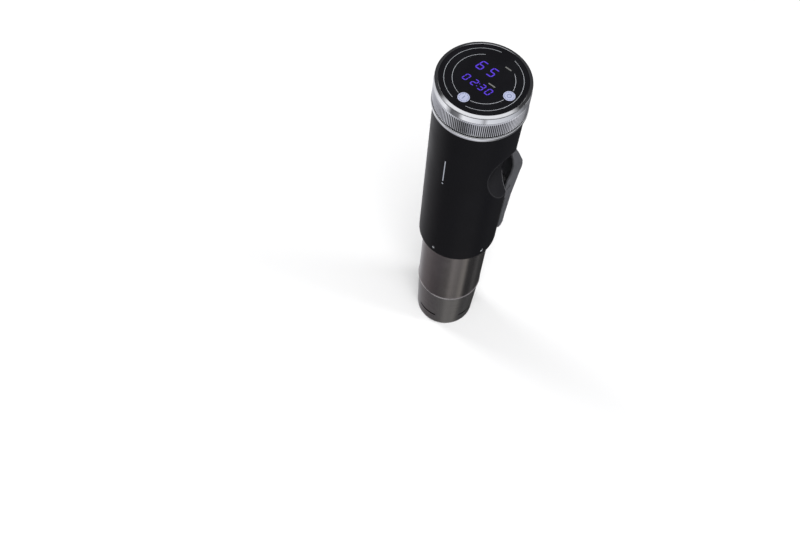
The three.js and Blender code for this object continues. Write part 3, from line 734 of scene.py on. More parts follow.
def pick_vertices(piece: bpy.types.Object, test: Callable[[Vector], bool]) -> None:
    """Selects the vertices that pass a test, in vertex mode.

    Args:
        piece: The piece, which is in edit mode.
        test: Takes a vertex's place in millimetres.
    """
    mesh = bmesh.from_edit_mesh(piece.data)
    for vertex in mesh.verts:
        vertex.select_set(test(vertex.co / MM))
    mesh.select_flush_mode()
    bmesh.update_edit_mesh(piece.data)


def step(offset: Sequence[float]) -> None:
    """Extrudes what is selected and moves it.

    Args:
        offset: How far it moves, in millimetres.
    """
    value = tuple(part * MM for part in offset)
    bpy.ops.mesh.extrude_region_move(TRANSFORM_OT_translate={"value": value})


def tidy(piece: bpy.types.Object) -> None:
    """Joins a piece's doubled points and turns its faces outwards.

    Args:
        piece: The piece.
    """
    with editing(piece):
        bpy.ops.mesh.select_all(action="SELECT")
        bpy.ops.mesh.remove_doubles(threshold=MERGE_DISTANCE)
        bpy.ops.mesh.normals_make_consistent(inside=False)


def turned(name: str, outline: Outline, segments: int = 144, caps: bool = False) -> bpy.types.Object:
    """Turns an outline about Z, one extruded ring at a time.

    Args:
        name: The piece's name.
        outline: Radius and height pairs in millimetres. It ends where it starts, unless it has caps.
        segments: The number of facets round the axis.
        caps: Whether the first and last rings are filled.

    Returns:
        The piece.
    """
    radius, height = outline[0]
    bpy.ops.mesh.primitive_circle_add(
        vertices=segments,
        radius=radius * MM,
        location=(0, 0, height * MM),
        fill_type="NGON" if caps else "NOTHING",
    )
    piece = adopt(name)
    with editing(piece):
        bpy.ops.mesh.select_all(action="SELECT")
        for next_radius, next_height in outline[1:]:
            step((0, 0, next_height - height))
            if not (caps and next_radius == radius):
                share = next_radius / radius
                bpy.ops.transform.resize(value=(share, share, 1), center_override=(0, 0, 0))
            radius, height = next_radius, next_height
    tidy(piece)
    return piece


def arc(
    centre: tuple[float, float], radius: float, start: float, end: float, steps: int = 6
) -> list[tuple[float, float]]:
    """Points on a round stretch of an outline.

    Args:
        centre: The arc's centre.
        radius: Its radius.
        start: Its first angle in degrees.
        end: Its last angle in degrees.
        steps: The number of chords.

    Returns:
        The points, both ends included.
    """
    angles = [math.radians(start + (end - start) * i / steps) for i in range(steps + 1)]
    return [(centre[0] + radius * math.cos(a), centre[1] + radius * math.sin(a)) for a in angles]


def plate(name: str, outline: Outline, half_width: float) -> bpy.types.Object:
    """Draws an outline in the YZ plane and extrudes it along X.

    Args:
        name: The piece's name.
        outline: Y and Z pairs in millimetres.
        half_width: Half of its width along X.

    Returns:
        The piece.
    """
    bpy.ops.mesh.primitive_plane_add(size=MM, location=(-half_width * MM, *(v * MM for v in outline[0])))
    piece = adopt(name)
    with editing(piece):
        bpy.ops.mesh.select_all(action="SELECT")
        bpy.ops.mesh.merge(type="CENTER")
        for (y, z), (next_y, next_z) in zip(outline, outline[1:]):
            step((0, next_y - y, next_z - z))
        bpy.ops.mesh.select_all(action="SELECT")
        bpy.ops.mesh.edge_face_add()
        step((2 * half_width, 0, 0))
    tidy(piece)
    return piece


def cube(name: str, low: Sequence[float], high: Sequence[float]) -> bpy.types.Object:
    """Adds a box between two corners.

    Args:
        name: The piece's name.
        low: Its lowest corner in millimetres.
        high: Its highest corner in millimetres.

    Returns:
        The piece.
    """
    middle = [(a + b) / 2 * MM for a, b in zip(low, high)]
    size = [(b - a) * MM for a, b in zip(low, high)]
    bpy.ops.mesh.primitive_cube_add(size=1, location=middle, scale=size)
    return adopt(name)


def rod(name: str, radius: float, start: Sequence[float], length: float, axis: str) -> bpy.types.Object:
    """Adds a cylinder along one axis.

    Args:
        name: The piece's name.
        radius: Its radius in millimetres.
        start: The middle of its first end.
        length: Its length.
        axis: X, Y or Z.

    Returns:
        The piece.
    """
    turns = {"X": (0, math.pi / 2, 0), "Y": (math.pi / 2, 0, 0), "Z": (0, 0, 0)}
    middle = list(start)
    middle["XYZ".index(axis)] += length / 2
    bpy.ops.mesh.primitive_cylinder_add(
        vertices=48,
        radius=radius * MM,
        depth=length * MM,
        location=[v * MM for v in middle],
        rotation=turns[axis],
    )
    return adopt(name)


def modify(piece: bpy.types.Object, kind: str, **settings: object) -> None:
    """Adds a modifier and applies it.

    Args:
        piece: The piece.
        kind: The modifier's type.
        **settings: Its settings.
    """
    focus(piece)
    modifier = piece.modifiers.new(kind.lower(), kind)
    for key, value in settings.items():
        setattr(modifier, key, value)
    bpy.ops.object.modifier_apply(modifier=modifier.name)


def round_edges(piece: bpy.types.Object, width: float, segments: int = 3, angle: float = 30.0) -> None:
    """Rounds a piece's sharp edges.

    Args:
        piece: The piece.
        width: The width of the rounding in millimetres.
        segments: The number of facets across it.
        angle: How sharp an edge has to be, in degrees.
    """
    modify(
        piece,
        "BEVEL",
        width=width * MM,
        segments=segments,
        limit_method="ANGLE",
        angle_limit=math.radians(angle),
    )


def carve(
    piece: bpy.types.Object, cutters: Iterable[bpy.types.Object], operation: str = "DIFFERENCE"
) -> None:
    """Cuts pieces out of another, or joins them to it, and removes them.

    Args:
        piece: The piece that is changed.
        cutters: The pieces that are used up.
        operation: DIFFERENCE, UNION or INTERSECT.
    """
    for cutter in cutters:
        modify(piece, "BOOLEAN", operation=operation, object=cutter, solver="EXACT")
        bpy.data.objects.remove(cutter)


def join(name: str, pieces: Sequence[bpy.types.Object]) -> bpy.types.Object:
    """Joins pieces into one.

    Args:
        name: The joined piece's name.
        pieces: The pieces.

    Returns:
        The joined piece.
    """
    focus(pieces[0])
    for piece in pieces:
        piece.select_set(True)
    if len(pieces) > 1:
        bpy.ops.object.join()
    pieces[0].name = name
    pieces[0].data.name = name
    return pieces[0]


def about_z(degrees: float) -> Matrix:
    """A turn about the tube's axis."""
    return Matrix.Rotation(math.radians(degrees), 4, "Z")


def shift(x: float, y: float, z: float) -> Matrix:
    """A move in millimetres."""
    return Matrix.Translation((x * MM, y * MM, z * MM))


def present(
    piece: bpy.types.Object, finish: Finish, body: Body, nodes: Sequence[str] = (), smooth: float = 32.0
) -> bpy.types.Object:
    """Smooths and dresses a finished piece, and hangs it on its body.

    Args:
        piece: The piece.
        finish: Its finish.
        body: The body that it moves with.
        nodes: The frame's nodes that it stands for.
        smooth: The sharpest angle that is shaded smooth, in degrees.

    Returns:
        The piece.
    """
    focus(piece)
    bpy.ops.object.shade_smooth_by_angle(angle=math.radians(smooth))
    modify(piece, "WEIGHTED_NORMAL", keep_sharp=True, weight=80)
    piece.data.materials.clear()
    piece.data.materials.append(finish.material())
    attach(piece, body.value)
    if nodes:
        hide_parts(*nodes)
    LOG.info("%s: %d faces on %s", piece.name, len(piece.data.polygons), body.value)
    return piece


@dataclass(frozen=True)
class Span:
    """The room that one node takes, in millimetres."""

    low: Vector
    high: Vector

    @classmethod
    def of(cls, node: str) -> "Span":
        """Reads a node's box.

        Args:
            node: The node's name.

        Returns:
            Its span.
        """
        low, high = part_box(node)
        return cls(low / MM, high / MM)

    @property
    def radius(self) -> float:
        """Half of its width along X."""
        return (self.high.x - self.low.x) / 2

    @property
    def bottom(self) -> float:
        """Its lowest height."""
        return self.low.z

    @property
    def top(self) -> float:
        """Its highest height."""
        return self.high.z


# ---------------------------------------------------------------------------------- sub-assemblies


SEGMENTS = {
    "0": "abcdef",
    "2": "abged",
    "3": "abgcd",
    "5": "afgcd",
    "6": "afgcde",
}


@dataclass
class GlassTop:
    """The fixed glass panel with its bezel, its print, its lit keys and its display."""

    span: Span = field(default_factory=lambda: Span.of("glass_panel"))
    plug_radius: float = 27.0
    plug_height: float = 1.5
    bevel_width: float = 2.2
    bevel_drop: float = 0.6
    print_room: float = 0.06
    print_height: float = 0.02
    line_width: float = 0.27
    outer_ring: float = 25.06
    inner_ring: float = 19.86
    key_circle: float = 20.0
    key_radius: float = 3.8
    slant: float = 0.17
    bar_gap: float = 0.25
    temperature_line: float = 7.5
    time_line: float = -6.3
    colon_half: float = 1.3

    @property
    def face(self) -> float:
        """The height of the polished face."""
        return self.span.top - self.print_room

    def build(self) -> None:
        """Models the panel and everything on it."""
        self.build_glass()
        self.build_rings()
        self.build_labels()
        self.build_digits()
        self.build_key("start", FRONT)
        self.build_key("set", RIGHT)

    def build_glass(self) -> None:
        """The stepped glass disc and the bevelled chrome ring round it."""
        radius = self.span.radius
        rim = self.span.bottom + self.plug_height
        edge = radius - self.bevel_width
        outline = [
            (self.plug_radius, self.span.bottom),
            (self.plug_radius, rim),
            (edge - 0.1, rim),
            (edge - 0.05, self.face - 0.25),
            (edge - 0.3, self.face),
        ]
        glass = turned("glass_top", outline, 192, caps=True)
        present(glass, Finishes.panel, Body.HOUSING, ["glass_panel"], smooth=12)
        shoulder = self.face - self.bevel_drop
        outline = [
            (edge, rim),
            (radius - 0.15, rim),
            (radius, rim + 0.15),
            (radius, shoulder - 0.12),
            *arc((radius - 0.2, shoulder - 0.12), 0.2, 0, 73, 4),
            (edge + 0.15, self.face - 0.01),
            (edge, self.face - 0.1),
            (edge, rim),
        ]
        bezel = turned("glass_bezel", outline, 192)
        present(bezel, Finishes.chrome, Body.HOUSING, ["glass_panel"], smooth=12)

    def line(
        self, name: str, radius: float, width: float, gaps: Sequence[tuple[float, float]]
    ) -> bpy.types.Object:
        """A printed arc about the panel's centre.

        Args:
            name: The piece's name.
            radius: The arc's radius.
            width: Its width.
            gaps: Each gap's middle and half width, in degrees.

        Returns:
            The arc.
        """
        inner, outer = radius - width / 2, radius + width / 2
        low, high = self.face, self.face + self.print_height
        outline = [(inner, low), (outer, low), (outer, high), (inner, high), (inner, low)]
        ring = turned(name, outline, 240)
        with editing(ring, "FACE"):
            pick_faces(ring, lambda middle, _: self.in_gap(middle, gaps))
            bpy.ops.mesh.delete(type="FACE")
        with editing(ring, "EDGE"):
            bpy.ops.mesh.select_all(action="SELECT")
            bpy.ops.mesh.fill_holes(sides=4)
        return ring

    @staticmethod
    def in_gap(point: Vector, gaps: Sequence[tuple[float, float]]) -> bool:
        """Whether a point lies in a gap.

        Args:
            point: The point.
            gaps: Each gap's middle and half width, in degrees.

        Returns:
            True in a gap.
        """
        angle = math.degrees(math.atan2(point.y, point.x))
        return any(abs((angle - middle + 180) % 360 - 180) < half for middle, half in gaps)

    def build_rings(self) -> None:
        """The two printed circles, broken at the front, the back and the keys."""
        rings = {
            "print_outer_circle": (self.outer_ring, [(FRONT, 11.7), (BACK, 11.7)]),
            "print_inner_circle": (self.inner_ring, [(BACK, 36.0), (FRONT, 13.0), (RIGHT, 13.0)]),
        }
        for name, (radius, gaps) in rings.items():
            ring = self.line(name, radius, self.line_width, gaps)
            present(ring, Finishes.ink, Body.HOUSING)

    def bar(self, name: str, x: float, y: float, length: float, width: float) -> bpy.types.Object:
        """A flat printed bar with pointed ends, along X.

        Args:
            name: The piece's name.
            x: The middle of the bar.
            y: The middle of the bar.
            length: Its length over the points.
            width: Its width.

        Returns:
            The bar.
        """
        half = length / 2 - width / 2
        low = (x - half, y - width / 2, self.face)
        high = (x + half, y + width / 2, self.face + self.print_height)
        piece = cube(name, low, high)
        with editing(piece, "FACE"):
            for side in (-1, 1):
                pick_faces(piece, lambda _, normal: normal.x * side > 0.9)
                step((side * width / 2, 0, 0))
                bpy.ops.transform.resize(value=(1, 0.12, 1))
        tidy(piece)
        return piece

    def build_labels(self) -> None:
        """The two plain label bars beside the figures."""
        places = {"upper": (6.3, 16.7, 5.0), "lower": (6.9, -0.8, 5.4)}
        for place, (x, y, length) in places.items():
            label = self.bar(f"label_bar_{place}", x, y, length, 0.9)
            present(label, Finishes.label, Body.HOUSING)

    def digit(
        self, figure: str, place: tuple[float, float], size: tuple[float, float], stroke: float
    ) -> list[bpy.types.Object]:
        """One slanted seven-segment figure.

        Args:
            figure: The figure.
            place: The middle of the figure.
            size: Its width and height over the middles of its bars.
            stroke: The bars' width.

        Returns:
            Its bars.
        """
        x, y = place
        width, height = size
        half = height / 2
        across = {"a": half, "g": 0.0, "d": -half}
        upright = {"f": (-1, 1), "b": (1, 1), "e": (-1, -1), "c": (1, -1)}
        slanted = self.lean(y)
        bars = []
        for key in SEGMENTS[figure]:
            if key in across:
                bar = self.bar(f"bar_{key}", x, y + across[key], width - self.bar_gap, stroke)
            else:
                side, level = upright[key]
                bar = self.bar(f"bar_{key}", 0, 0, half - self.bar_gap, stroke)
                middle = shift(x + side * width / 2, y + level * half / 2, 0)
                bar.data.transform(middle @ about_z(90))
            bar.data.transform(slanted)
            bars.append(bar)
        return bars

    def lean(self, y: float) -> Matrix:
        """A slant to the right, about one row's middle.

        Args:
            y: The row's middle.

        Returns:
            The slant.
        """
        slanted = Matrix.Identity(4)
        slanted[0][1] = self.slant
        return shift(0, y, 0) @ slanted @ shift(0, -y, 0)

    def build_digits(self) -> None:
        """The temperature over the time."""
        bars = []
        for figure, x in zip("65", (-7.7, 0.9)):
            bars += self.digit(figure, (x, self.temperature_line), (3.9, 7.0), 0.8)
        for figure, x in zip("0230", (-8.9, -2.5, 3.3, 8.7)):
            bars += self.digit(figure, (x, self.time_line), (2.8, 5.0), 0.7)
        for rise in (self.colon_half, -self.colon_half):
            bars.append(self.bar("colon", 0.4 + self.slant * rise, self.time_line + rise, 0.8, 0.7))
        digits = join("display_digits", bars)
        present(digits, Finishes.digits, Body.HOUSING)

    def build_key(self, name: str, angle: float) -> None:
        """A lit key: a pale disc with a dark symbol.

        Args:
            name: The key's name.
            angle: Its place round the panel, in degrees.
        """
        low, high = self.face - 0.3, self.face + self.print_height
        radius = self.key_radius
        outline = [(radius - 0.02, low), (radius, high - 0.01), (radius - 0.03, high)]
        place = about_z(angle) @ shift(self.key_circle, 0, 0) @ about_z(-angle)
        disc = turned(f"{name}_key", outline, 64, caps=True)
        disc.data.transform(place)
        present(disc, Finishes.key, Body.HOUSING)
        dashes = [(30.0 * i, 6.0) for i in range(12)]
        marks = [self.line("dashes", 2.95, 0.42, dashes)]
        if name == "start":
            marks.append(self.bar("stroke", 0, 0.1, 3.2, 0.5))
            marks[-1].data.transform(about_z(90))
        else:
            marks.append(self.line("eye", 1.35, 0.42, []))
        symbol = join(f"{name}_key_symbol", marks)
        symbol.data.transform(place @ shift(0, 0, self.print_height))
        present(symbol, Finishes.key_ink, Body.HOUSING)


@dataclass
class Dial:
    """The chrome dial ring that turns under the glass, and the fixed trim ring."""

    ring: Span = field(default_factory=lambda: Span.of("dial_ring"))
    trim: Span = field(default_factory=lambda: Span.of("trim_ring"))
    bore: float = 27.4
    teeth: int = 150
    tooth_depth: float = 0.62
    shoulder: float = 4.4
    foot: float = 0.5
    top_inset: float = 0.4
    groove_shade: tuple[float, float] = (0.42, 0.2)
    groove_end: float = 2.3

    def build(self) -> None:
        """Models both rings."""
        self.build_knurled_ring()
        self.build_trim()

    def build_knurled_ring(self) -> None:
        """The ring, turned with two points to a tooth, of which one is drawn in to make a groove."""
        crest = self.ring.radius
        top, bottom = self.ring.top, self.ring.bottom
        knurl_top = top - self.shoulder
        knurl_bottom = bottom + self.foot
        land = crest - self.tooth_depth
        outline = [
            (self.bore, bottom),
            (land, bottom),
            (land, knurl_bottom),
            (crest - 0.05, knurl_bottom + 0.35),
            (crest, knurl_bottom + 0.6),
            (crest, knurl_top - 0.5),
            (crest - 0.12, knurl_top),
            (crest, knurl_top + 0.2),
            (crest - 0.02, knurl_top + 0.5),
            (crest - self.top_inset, top - 0.25),
            (crest - self.top_inset - 0.25, top),
            (self.bore, top),
            (self.bore, bottom),
        ]
        ring = turned("dial_knurled_ring", outline, self.teeth * 2)
        turn = 360 / self.teeth
        with editing(ring):
            pick_vertices(ring, lambda place: self.in_groove(place, crest, knurl_bottom, knurl_top, turn))
            share = land / crest
            bpy.ops.transform.resize(value=(share, share, 1), center_override=(0, 0, 0))
        # the knurl's finish paints shade into the grooves, deepest at their root
        plated = replace(
            Finishes.knurl,
            root=(crest - self.groove_shade[0]) * MM,
            crest=(crest - self.groove_shade[1]) * MM,
            top=(knurl_top - self.groove_end) * MM,
        )
        present(ring, plated, Body.DIAL, ["dial_ring"], smooth=25)

    @staticmethod
    def in_groove(place: Vector, crest: float, low: float, high: float, turn: float) -> bool:
        """Whether a point of the ring is at the bottom of a groove.

        Args:
            place: The point.
            crest: The radius over the teeth.
            low: The height where the knurl starts.
            high: The height where it ends.
            turn: The angle from one tooth to the next.

        Returns:
            True for the points that go in.
        """
        on_knurl = low + 0.5 < place.z < high - 0.2 and place.xy.length > crest - 0.03
        angle = math.degrees(math.atan2(place.y, place.x)) % turn
        return on_knurl and abs(angle - turn / 2) < turn / 4

    def build_trim(self) -> None:
        """The smooth ring under the dial."""
        radius, top, bottom = self.trim.radius, self.trim.top, self.trim.bottom
        outline = [
            (self.bore, bottom),
            *arc((radius - 0.5, bottom + 0.5), 0.5, -90, 0, 4),
            *arc((radius - 0.8, top - 0.8), 0.8, 0, 90, 5),
            (self.bore, top),
            (self.bore, bottom),
        ]
        present(turned("trim_bezel", outline, 192), Finishes.chrome, Body.HOUSING, ["trim_ring"])


@dataclass
class Tube:
    """The black body with its finger scoops, rear channel, indicator and marks."""

    shell: Span = field(default_factory=lambda: Span.of("body_shell"))
    sleeve: Span = field(default_factory=lambda: Span.of("skirt_sleeve"))
    strip: Span = field(default_factory=lambda: Span.of("indicator_strip"))
    dot: Span = field(default_factory=lambda: Span.of("indicator_dot"))
    gland: Span = field(default_factory=lambda: Span.of("cord_gland"))
    wall: float = 2.2
    lip: float = 4.4
    lip_room: float = 0.4
    lower_edge: float = 0.8
    channel_half: float = 20.8
    channel_front: float = 7.5
    channel_low: float = 184.0
    channel_high: float = 254.0
    side_cut_front: float = 12.0
    side_cut_drop: float = 0.01
    scoop_size: tuple[float, float, float] = (117.0, 250.0, 64.2)
    scoop_place: tuple[float, float, float] = (131.4, 80.0, 181.6)
    scoop_tilt: float = -0.551
    scoop_reach: float = 60.0
    light_room: float = 0.12
    inlet_radius: float = 5.2
    weld: float = 0.12
    edge_round: float = 0.3
    mark_height: float = 134.4
    unlock_angle: float = 76.0

    def build(self) -> None:
        """Models the shell and what is set in it."""
        self.build_shell()
        self.build_indicator()
        for name, angle in (("lock", 0.0), ("unlock", self.unlock_angle)):
            self.build_mark(name, angle)

    def scoop(self, side: int, grow: float) -> bpy.types.Object:
        """The form that hollows out one side.

        Args:
            side: 1 for the right side, -1 for the left.
            grow: How much larger it is all round, in millimetres.

        Returns:
            The form.
        """
        x, y, z = self.scoop_place
        bpy.ops.mesh.primitive_uv_sphere_add(
            segments=300,
            ring_count=150,
            radius=MM,
            location=(x * side * MM, y * MM, z * MM),
            rotation=(self.scoop_tilt, 0, 0),
            scale=[size + grow for size in self.scoop_size],
        )
        form = adopt("scoop")
        with editing(form):
            bpy.ops.mesh.select_all(action="SELECT")
            bpy.ops.mesh.bisect(
                plane_co=(side * self.scoop_reach * MM, 0, 0),
                plane_no=(side, 0, 0),
                use_fill=True,
                clear_outer=True,
            )
        tidy(form)
        return form

    def build_shell(self) -> None:
        """The shell: a full tube less its hollow, the channel, the scoops and the holes."""
        radius, bottom, top = self.shell.radius, self.shell.bottom, self.shell.top
        bore = radius - self.wall
        lip_bore = self.sleeve.radius + self.lip_room
        lip_top = bottom + self.lip
        edge = self.lower_edge
        rounding = arc((radius - edge, bottom + edge), edge, -72, 0, 4)
        outline = [(radius - edge, bottom), *rounding, (radius, top)]
        shell = turned("body_tube", outline, 200, caps=True)
        hollow = turned("hollow", [(bore, lip_top), (bore, top + 1)], 200, caps=True)
        far = radius + 20
        pocket = cube(
            "pocket",
            (-far, self.channel_front - self.wall, self.channel_low - self.wall),
            (far, far, self.channel_high + self.wall),
        )
        carve(hollow, [pocket, self.scoop(1, self.wall), self.scoop(-1, self.wall)])
        channel = cube(
            "channel",
            (-self.channel_half, self.channel_front, self.channel_low),
            (self.channel_half, far, self.channel_high),
        )
        side_cut = cube(
            "side_cut",
            (-far, self.side_cut_front, self.channel_low),
            (far, far, self.channel_high - self.side_cut_drop),
        )
        mouth = turned("mouth", [(lip_bore, bottom - 1), (lip_bore, lip_top + 1)], 200, caps=True)
        slot = cube(
            "slot",
            (self.strip.low.x - self.light_room, -radius - 1, self.strip.bottom - self.light_room),
            (self.strip.high.x + self.light_room, -bore + 1, self.strip.top + self.light_room),
        )
        dot_middle = (self.dot.bottom + self.dot.top) / 2
        hole_radius = self.dot.radius + self.light_room
        hole = rod("hole", hole_radius, (0, -radius - 1, dot_middle), self.wall + 2, "Y")
        gland_middle = (self.gland.bottom + self.gland.top) / 2
        inlet = rod("inlet", self.inlet_radius, (0, bore - 2, gland_middle), self.wall + 4, "Y")
        scoops = [self.scoop(1, 0), self.scoop(-1, 0)]
        carve(shell, [hollow, channel, side_cut, mouth, *scoops, slot, hole, inlet])
        with editing(shell):
            bpy.ops.mesh.select_all(action="SELECT")
            bpy.ops.mesh.remove_doubles(threshold=self.weld * MM)
        round_edges(shell, self.edge_round, 2, 24)
        # the body finish with painted highlight lines along the scoops' rims and the side cut's front edge
        painted_highlights = replace(
            Finishes.body,
            radius=radius * MM,
            cut=self.side_cut_front * MM,
            low=self.channel_low * MM,
            high=self.channel_high * MM,
            place=tuple(v * MM for v in self.scoop_place),
            tilt=self.scoop_tilt,
            size=tuple(v * MM for v in self.scoop_size),
        )
        present(shell, painted_highlights, Body.HOUSING, ["body_shell"], smooth=28)

    def build_indicator(self) -> None:
        """The upright light guide and the dot under it, each with rounded edges."""
        guide = cube("indicator_guide", self.strip.low, self.strip.high)
        with editing(guide, "FACE"):
            pick_faces(guide, lambda _, normal: normal.y < -0.9)
            bpy.ops.mesh.inset(thickness=0.15 * MM)
        round_edges(guide, 0.12, 2)
        present(guide, Finishes.guide, Body.HOUSING, ["indicator_strip"])
        middle = (self.dot.bottom + self.dot.top) / 2
        length = self.dot.high.y - self.dot.low.y
        lens = rod("indicator_lens", self.dot.radius, (0, self.dot.low.y, middle), length, "Y")
        round_edges(lens, 0.25, 3)
        present(lens, Finishes.guide, Body.HOUSING, ["indicator_dot"])

    def build_mark(self, name: str, angle: float) -> None:
        """A small printed padlock on the body's lower edge.

        Args:
            name: lock or unlock.
            angle: Its place from the front, in degrees.
        """
        face = -self.shell.radius - 0.015
        low, high = (-1.0, face, self.mark_height - 1.1), (1.0, face + 0.02, self.mark_height + 0.2)
        case = cube("case", low, high)
        round_edges(case, 0.25, 2)
        bpy.ops.mesh.primitive_torus_add(
            major_radius=0.62 * MM,
            minor_radius=0.17 * MM,
            major_segments=24,
            minor_segments=6,
            location=(0, (face + 0.01) * MM, (self.mark_height + 0.5) * MM),
            rotation=(math.pi / 2, 0, 0),
        )
        shackle = adopt("shackle")
        flat = Matrix.Diagonal((1, 0.06, 1, 1))
        shackle.data.transform(shift(0, face, 0) @ flat @ shift(0, -face, 0))
        with editing(shackle):
            pick_vertices(shackle, lambda place: place.z < self.mark_height + 0.1)
            bpy.ops.mesh.delete(type="VERT")
        if name == "unlock":
            shackle.data.transform(shift(0.75, 0, 0.25))
        mark = join(f"{name}_mark", [case, shackle])
        mark.data.transform(about_z(angle))
        present(mark, Finishes.ink, Body.HOUSING)


@dataclass
class Clamp:
    """The sprung lever behind the body, with its pad, pin and spring."""

    lever: Span = field(default_factory=lambda: Span.of("clamp_lever"))
    pad: Span = field(default_factory=lambda: Span.of("lever_pad"))
    spring: Span = field(default_factory=lambda: Span.of("clamp_spring"))
    pin: Span = field(default_factory=lambda: Span.of("pivot_pin"))
    cheek: float = 1.6
    web: float = 3.4
    jaw_face: float = 33.4
    jaw_top: float = 150.0
    pin_room: float = 0.3
    spring_seat: float = 27.0
    seat_radius: float = 5.0
    seat_length: float = 3.6
    spring_turns: int = 6
    wire: float = 0.6
    ribs: int = 9

    def build(self) -> None:
        """Models the clamp."""
        self.build_lever()
        self.build_pad()
        self.build_pin()
        self.build_spring()

    def back(self) -> list[tuple[float, float]]:
        """The lever's rear outline, from its lower end to its upper end."""
        low = self.lever.bottom
        return [
            (self.jaw_face + 4.5, low),
            (self.jaw_face + 6.4, low + 4),
            (39.9, 121),
            (41.0, 133.5),
            (41.8, 147),
            (44.1, 158.5),
            (46.7, 172.5),
            (48.1, 178),
            (48.2, 182),
            (46.8, 187.5),
            (39.3, 203),
            (30.6, 219),
            (25.4, 233),
            (23.4, self.lever.top),
        ]

    def front(self) -> list[tuple[float, float]]:
        """The front edge of its cheeks, from the upper end down to the jaw."""
        low = self.lever.bottom
        return [
            (21.4, self.lever.top - 1.9),
            (27.6, 213),
            (31.9, 202),
            (34.8, 191),
            (34.6, 182),
            (31.9, 176),
            (30.4, 169),
            (29.2, 161),
            (30.6, 154),
            (self.jaw_face, self.jaw_top),
            (self.jaw_face, low + 1.5),
            (self.jaw_face + 1, low),
        ]

    def build_lever(self) -> None:
        """The lever: a rounded plate, hollowed from the front between its cheeks."""
        half = self.lever.radius
        lever = plate("clamp_handle", [*self.back(), *self.front()], half)
        round_edges(lever, 0.9, 3, 60)
        pocket_low = self.jaw_top + 2
        rear = [(y - self.web, z) for y, z in self.back() if z > pocket_low]
        pocket = plate(
            "pocket",
            [(0, pocket_low), (rear[0][0] - 1, pocket_low), *rear, (rear[-1][0], 260), (0, 260)],
            half - self.cheek,
        )
        middle = (self.spring.bottom + self.spring.top) / 2
        carve(lever, [pocket])
        seat = rod("seat", self.seat_radius, (0, self.spring_seat, middle), self.seat_length, "Y")
        carve(lever, [seat], "UNION")
        pivot = frame_pivot("clamp_lever_pivot")
        bore_radius = self.pin.high.z - pivot.z + self.pin_room
        bore = rod("bore", bore_radius, (-half - 2, pivot.y, pivot.z), 2 * half + 4, "X")
        carve(lever, [bore])
        present(lever, Finishes.lever, Body.CLAMP, ["clamp_lever"])

    def build_pad(self) -> None:
        """The ribbed rubber pad of the jaw."""
        pad = cube("jaw_pad", self.pad.low, self.pad.high)
        height = (self.pad.top - self.pad.bottom) / self.ribs
        with editing(pad, "FACE"):
            for i in range(1, self.ribs):
                bpy.ops.mesh.select_all(action="SELECT")
                level = self.pad.bottom + i * height
                bpy.ops.mesh.bisect(plane_co=(0, 0, level * MM), plane_no=(0, 0, 1))
            pick_faces(pad, lambda _, normal: normal.y < -0.9)
            bpy.ops.mesh.inset(thickness=0.7 * MM, depth=-0.5 * MM, use_individual=True)
        round_edges(pad, 0.2, 2)
        present(pad, Finishes.rubber, Body.CLAMP, ["lever_pad"])

    def build_pin(self) -> None:
        """The pivot pin with rounded ends."""
        pivot = frame_pivot("clamp_lever_pivot")
        length = self.pin.high.x - self.pin.low.x
        pin = rod("hinge_pin", self.pin.high.z - pivot.z, (self.pin.low.x, pivot.y, pivot.z), length, "X")
        round_edges(pin, 0.4, 3)
        present(pin, Finishes.plain, Body.HOUSING, ["pivot_pin"])

    def build_spring(self) -> None:
        """The coiled spring between the channel and the lever's arm."""
        height = (self.spring.bottom + self.spring.top) / 2
        start, end = self.spring.low.y, self.spring.high.y
        radius = (self.spring.high.x - self.spring.low.x) / 2 - self.wire
        pitch = (end - start - 2 * self.wire) / self.spring_turns
        bpy.ops.mesh.primitive_circle_add(
            vertices=10, radius=self.wire * MM, location=(radius * MM, (start + self.wire) * MM, 0)
        )
        coil = adopt("clamp_coil_spring")
        modify(
            coil,
            "SCREW",
            axis="Y",
            angle=math.tau,
            screw_offset=pitch * MM,
            iterations=self.spring_turns,
            steps=28,
            render_steps=28,
        )
        with editing(coil, "EDGE"):
            bpy.ops.mesh.select_all(action="SELECT")
            bpy.ops.mesh.fill_holes(sides=12)
            bpy.ops.mesh.normals_make_consistent(inside=False)
        coil.data.transform(shift(0, 0, height))
        present(coil, Finishes.plain, Body.HOUSING, ["clamp_spring"], smooth=60)
        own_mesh(coil)


def frame_pivot(joint: str) -> Vector:
    """Where a joint turns.

    Args:
        joint: The joint's name.

    Returns:
        The point in millimetres.
    """
    found = next(entry for entry in frame["joints"] if entry["name"] == joint)
    return Vector(found["pos_m"]) / MM


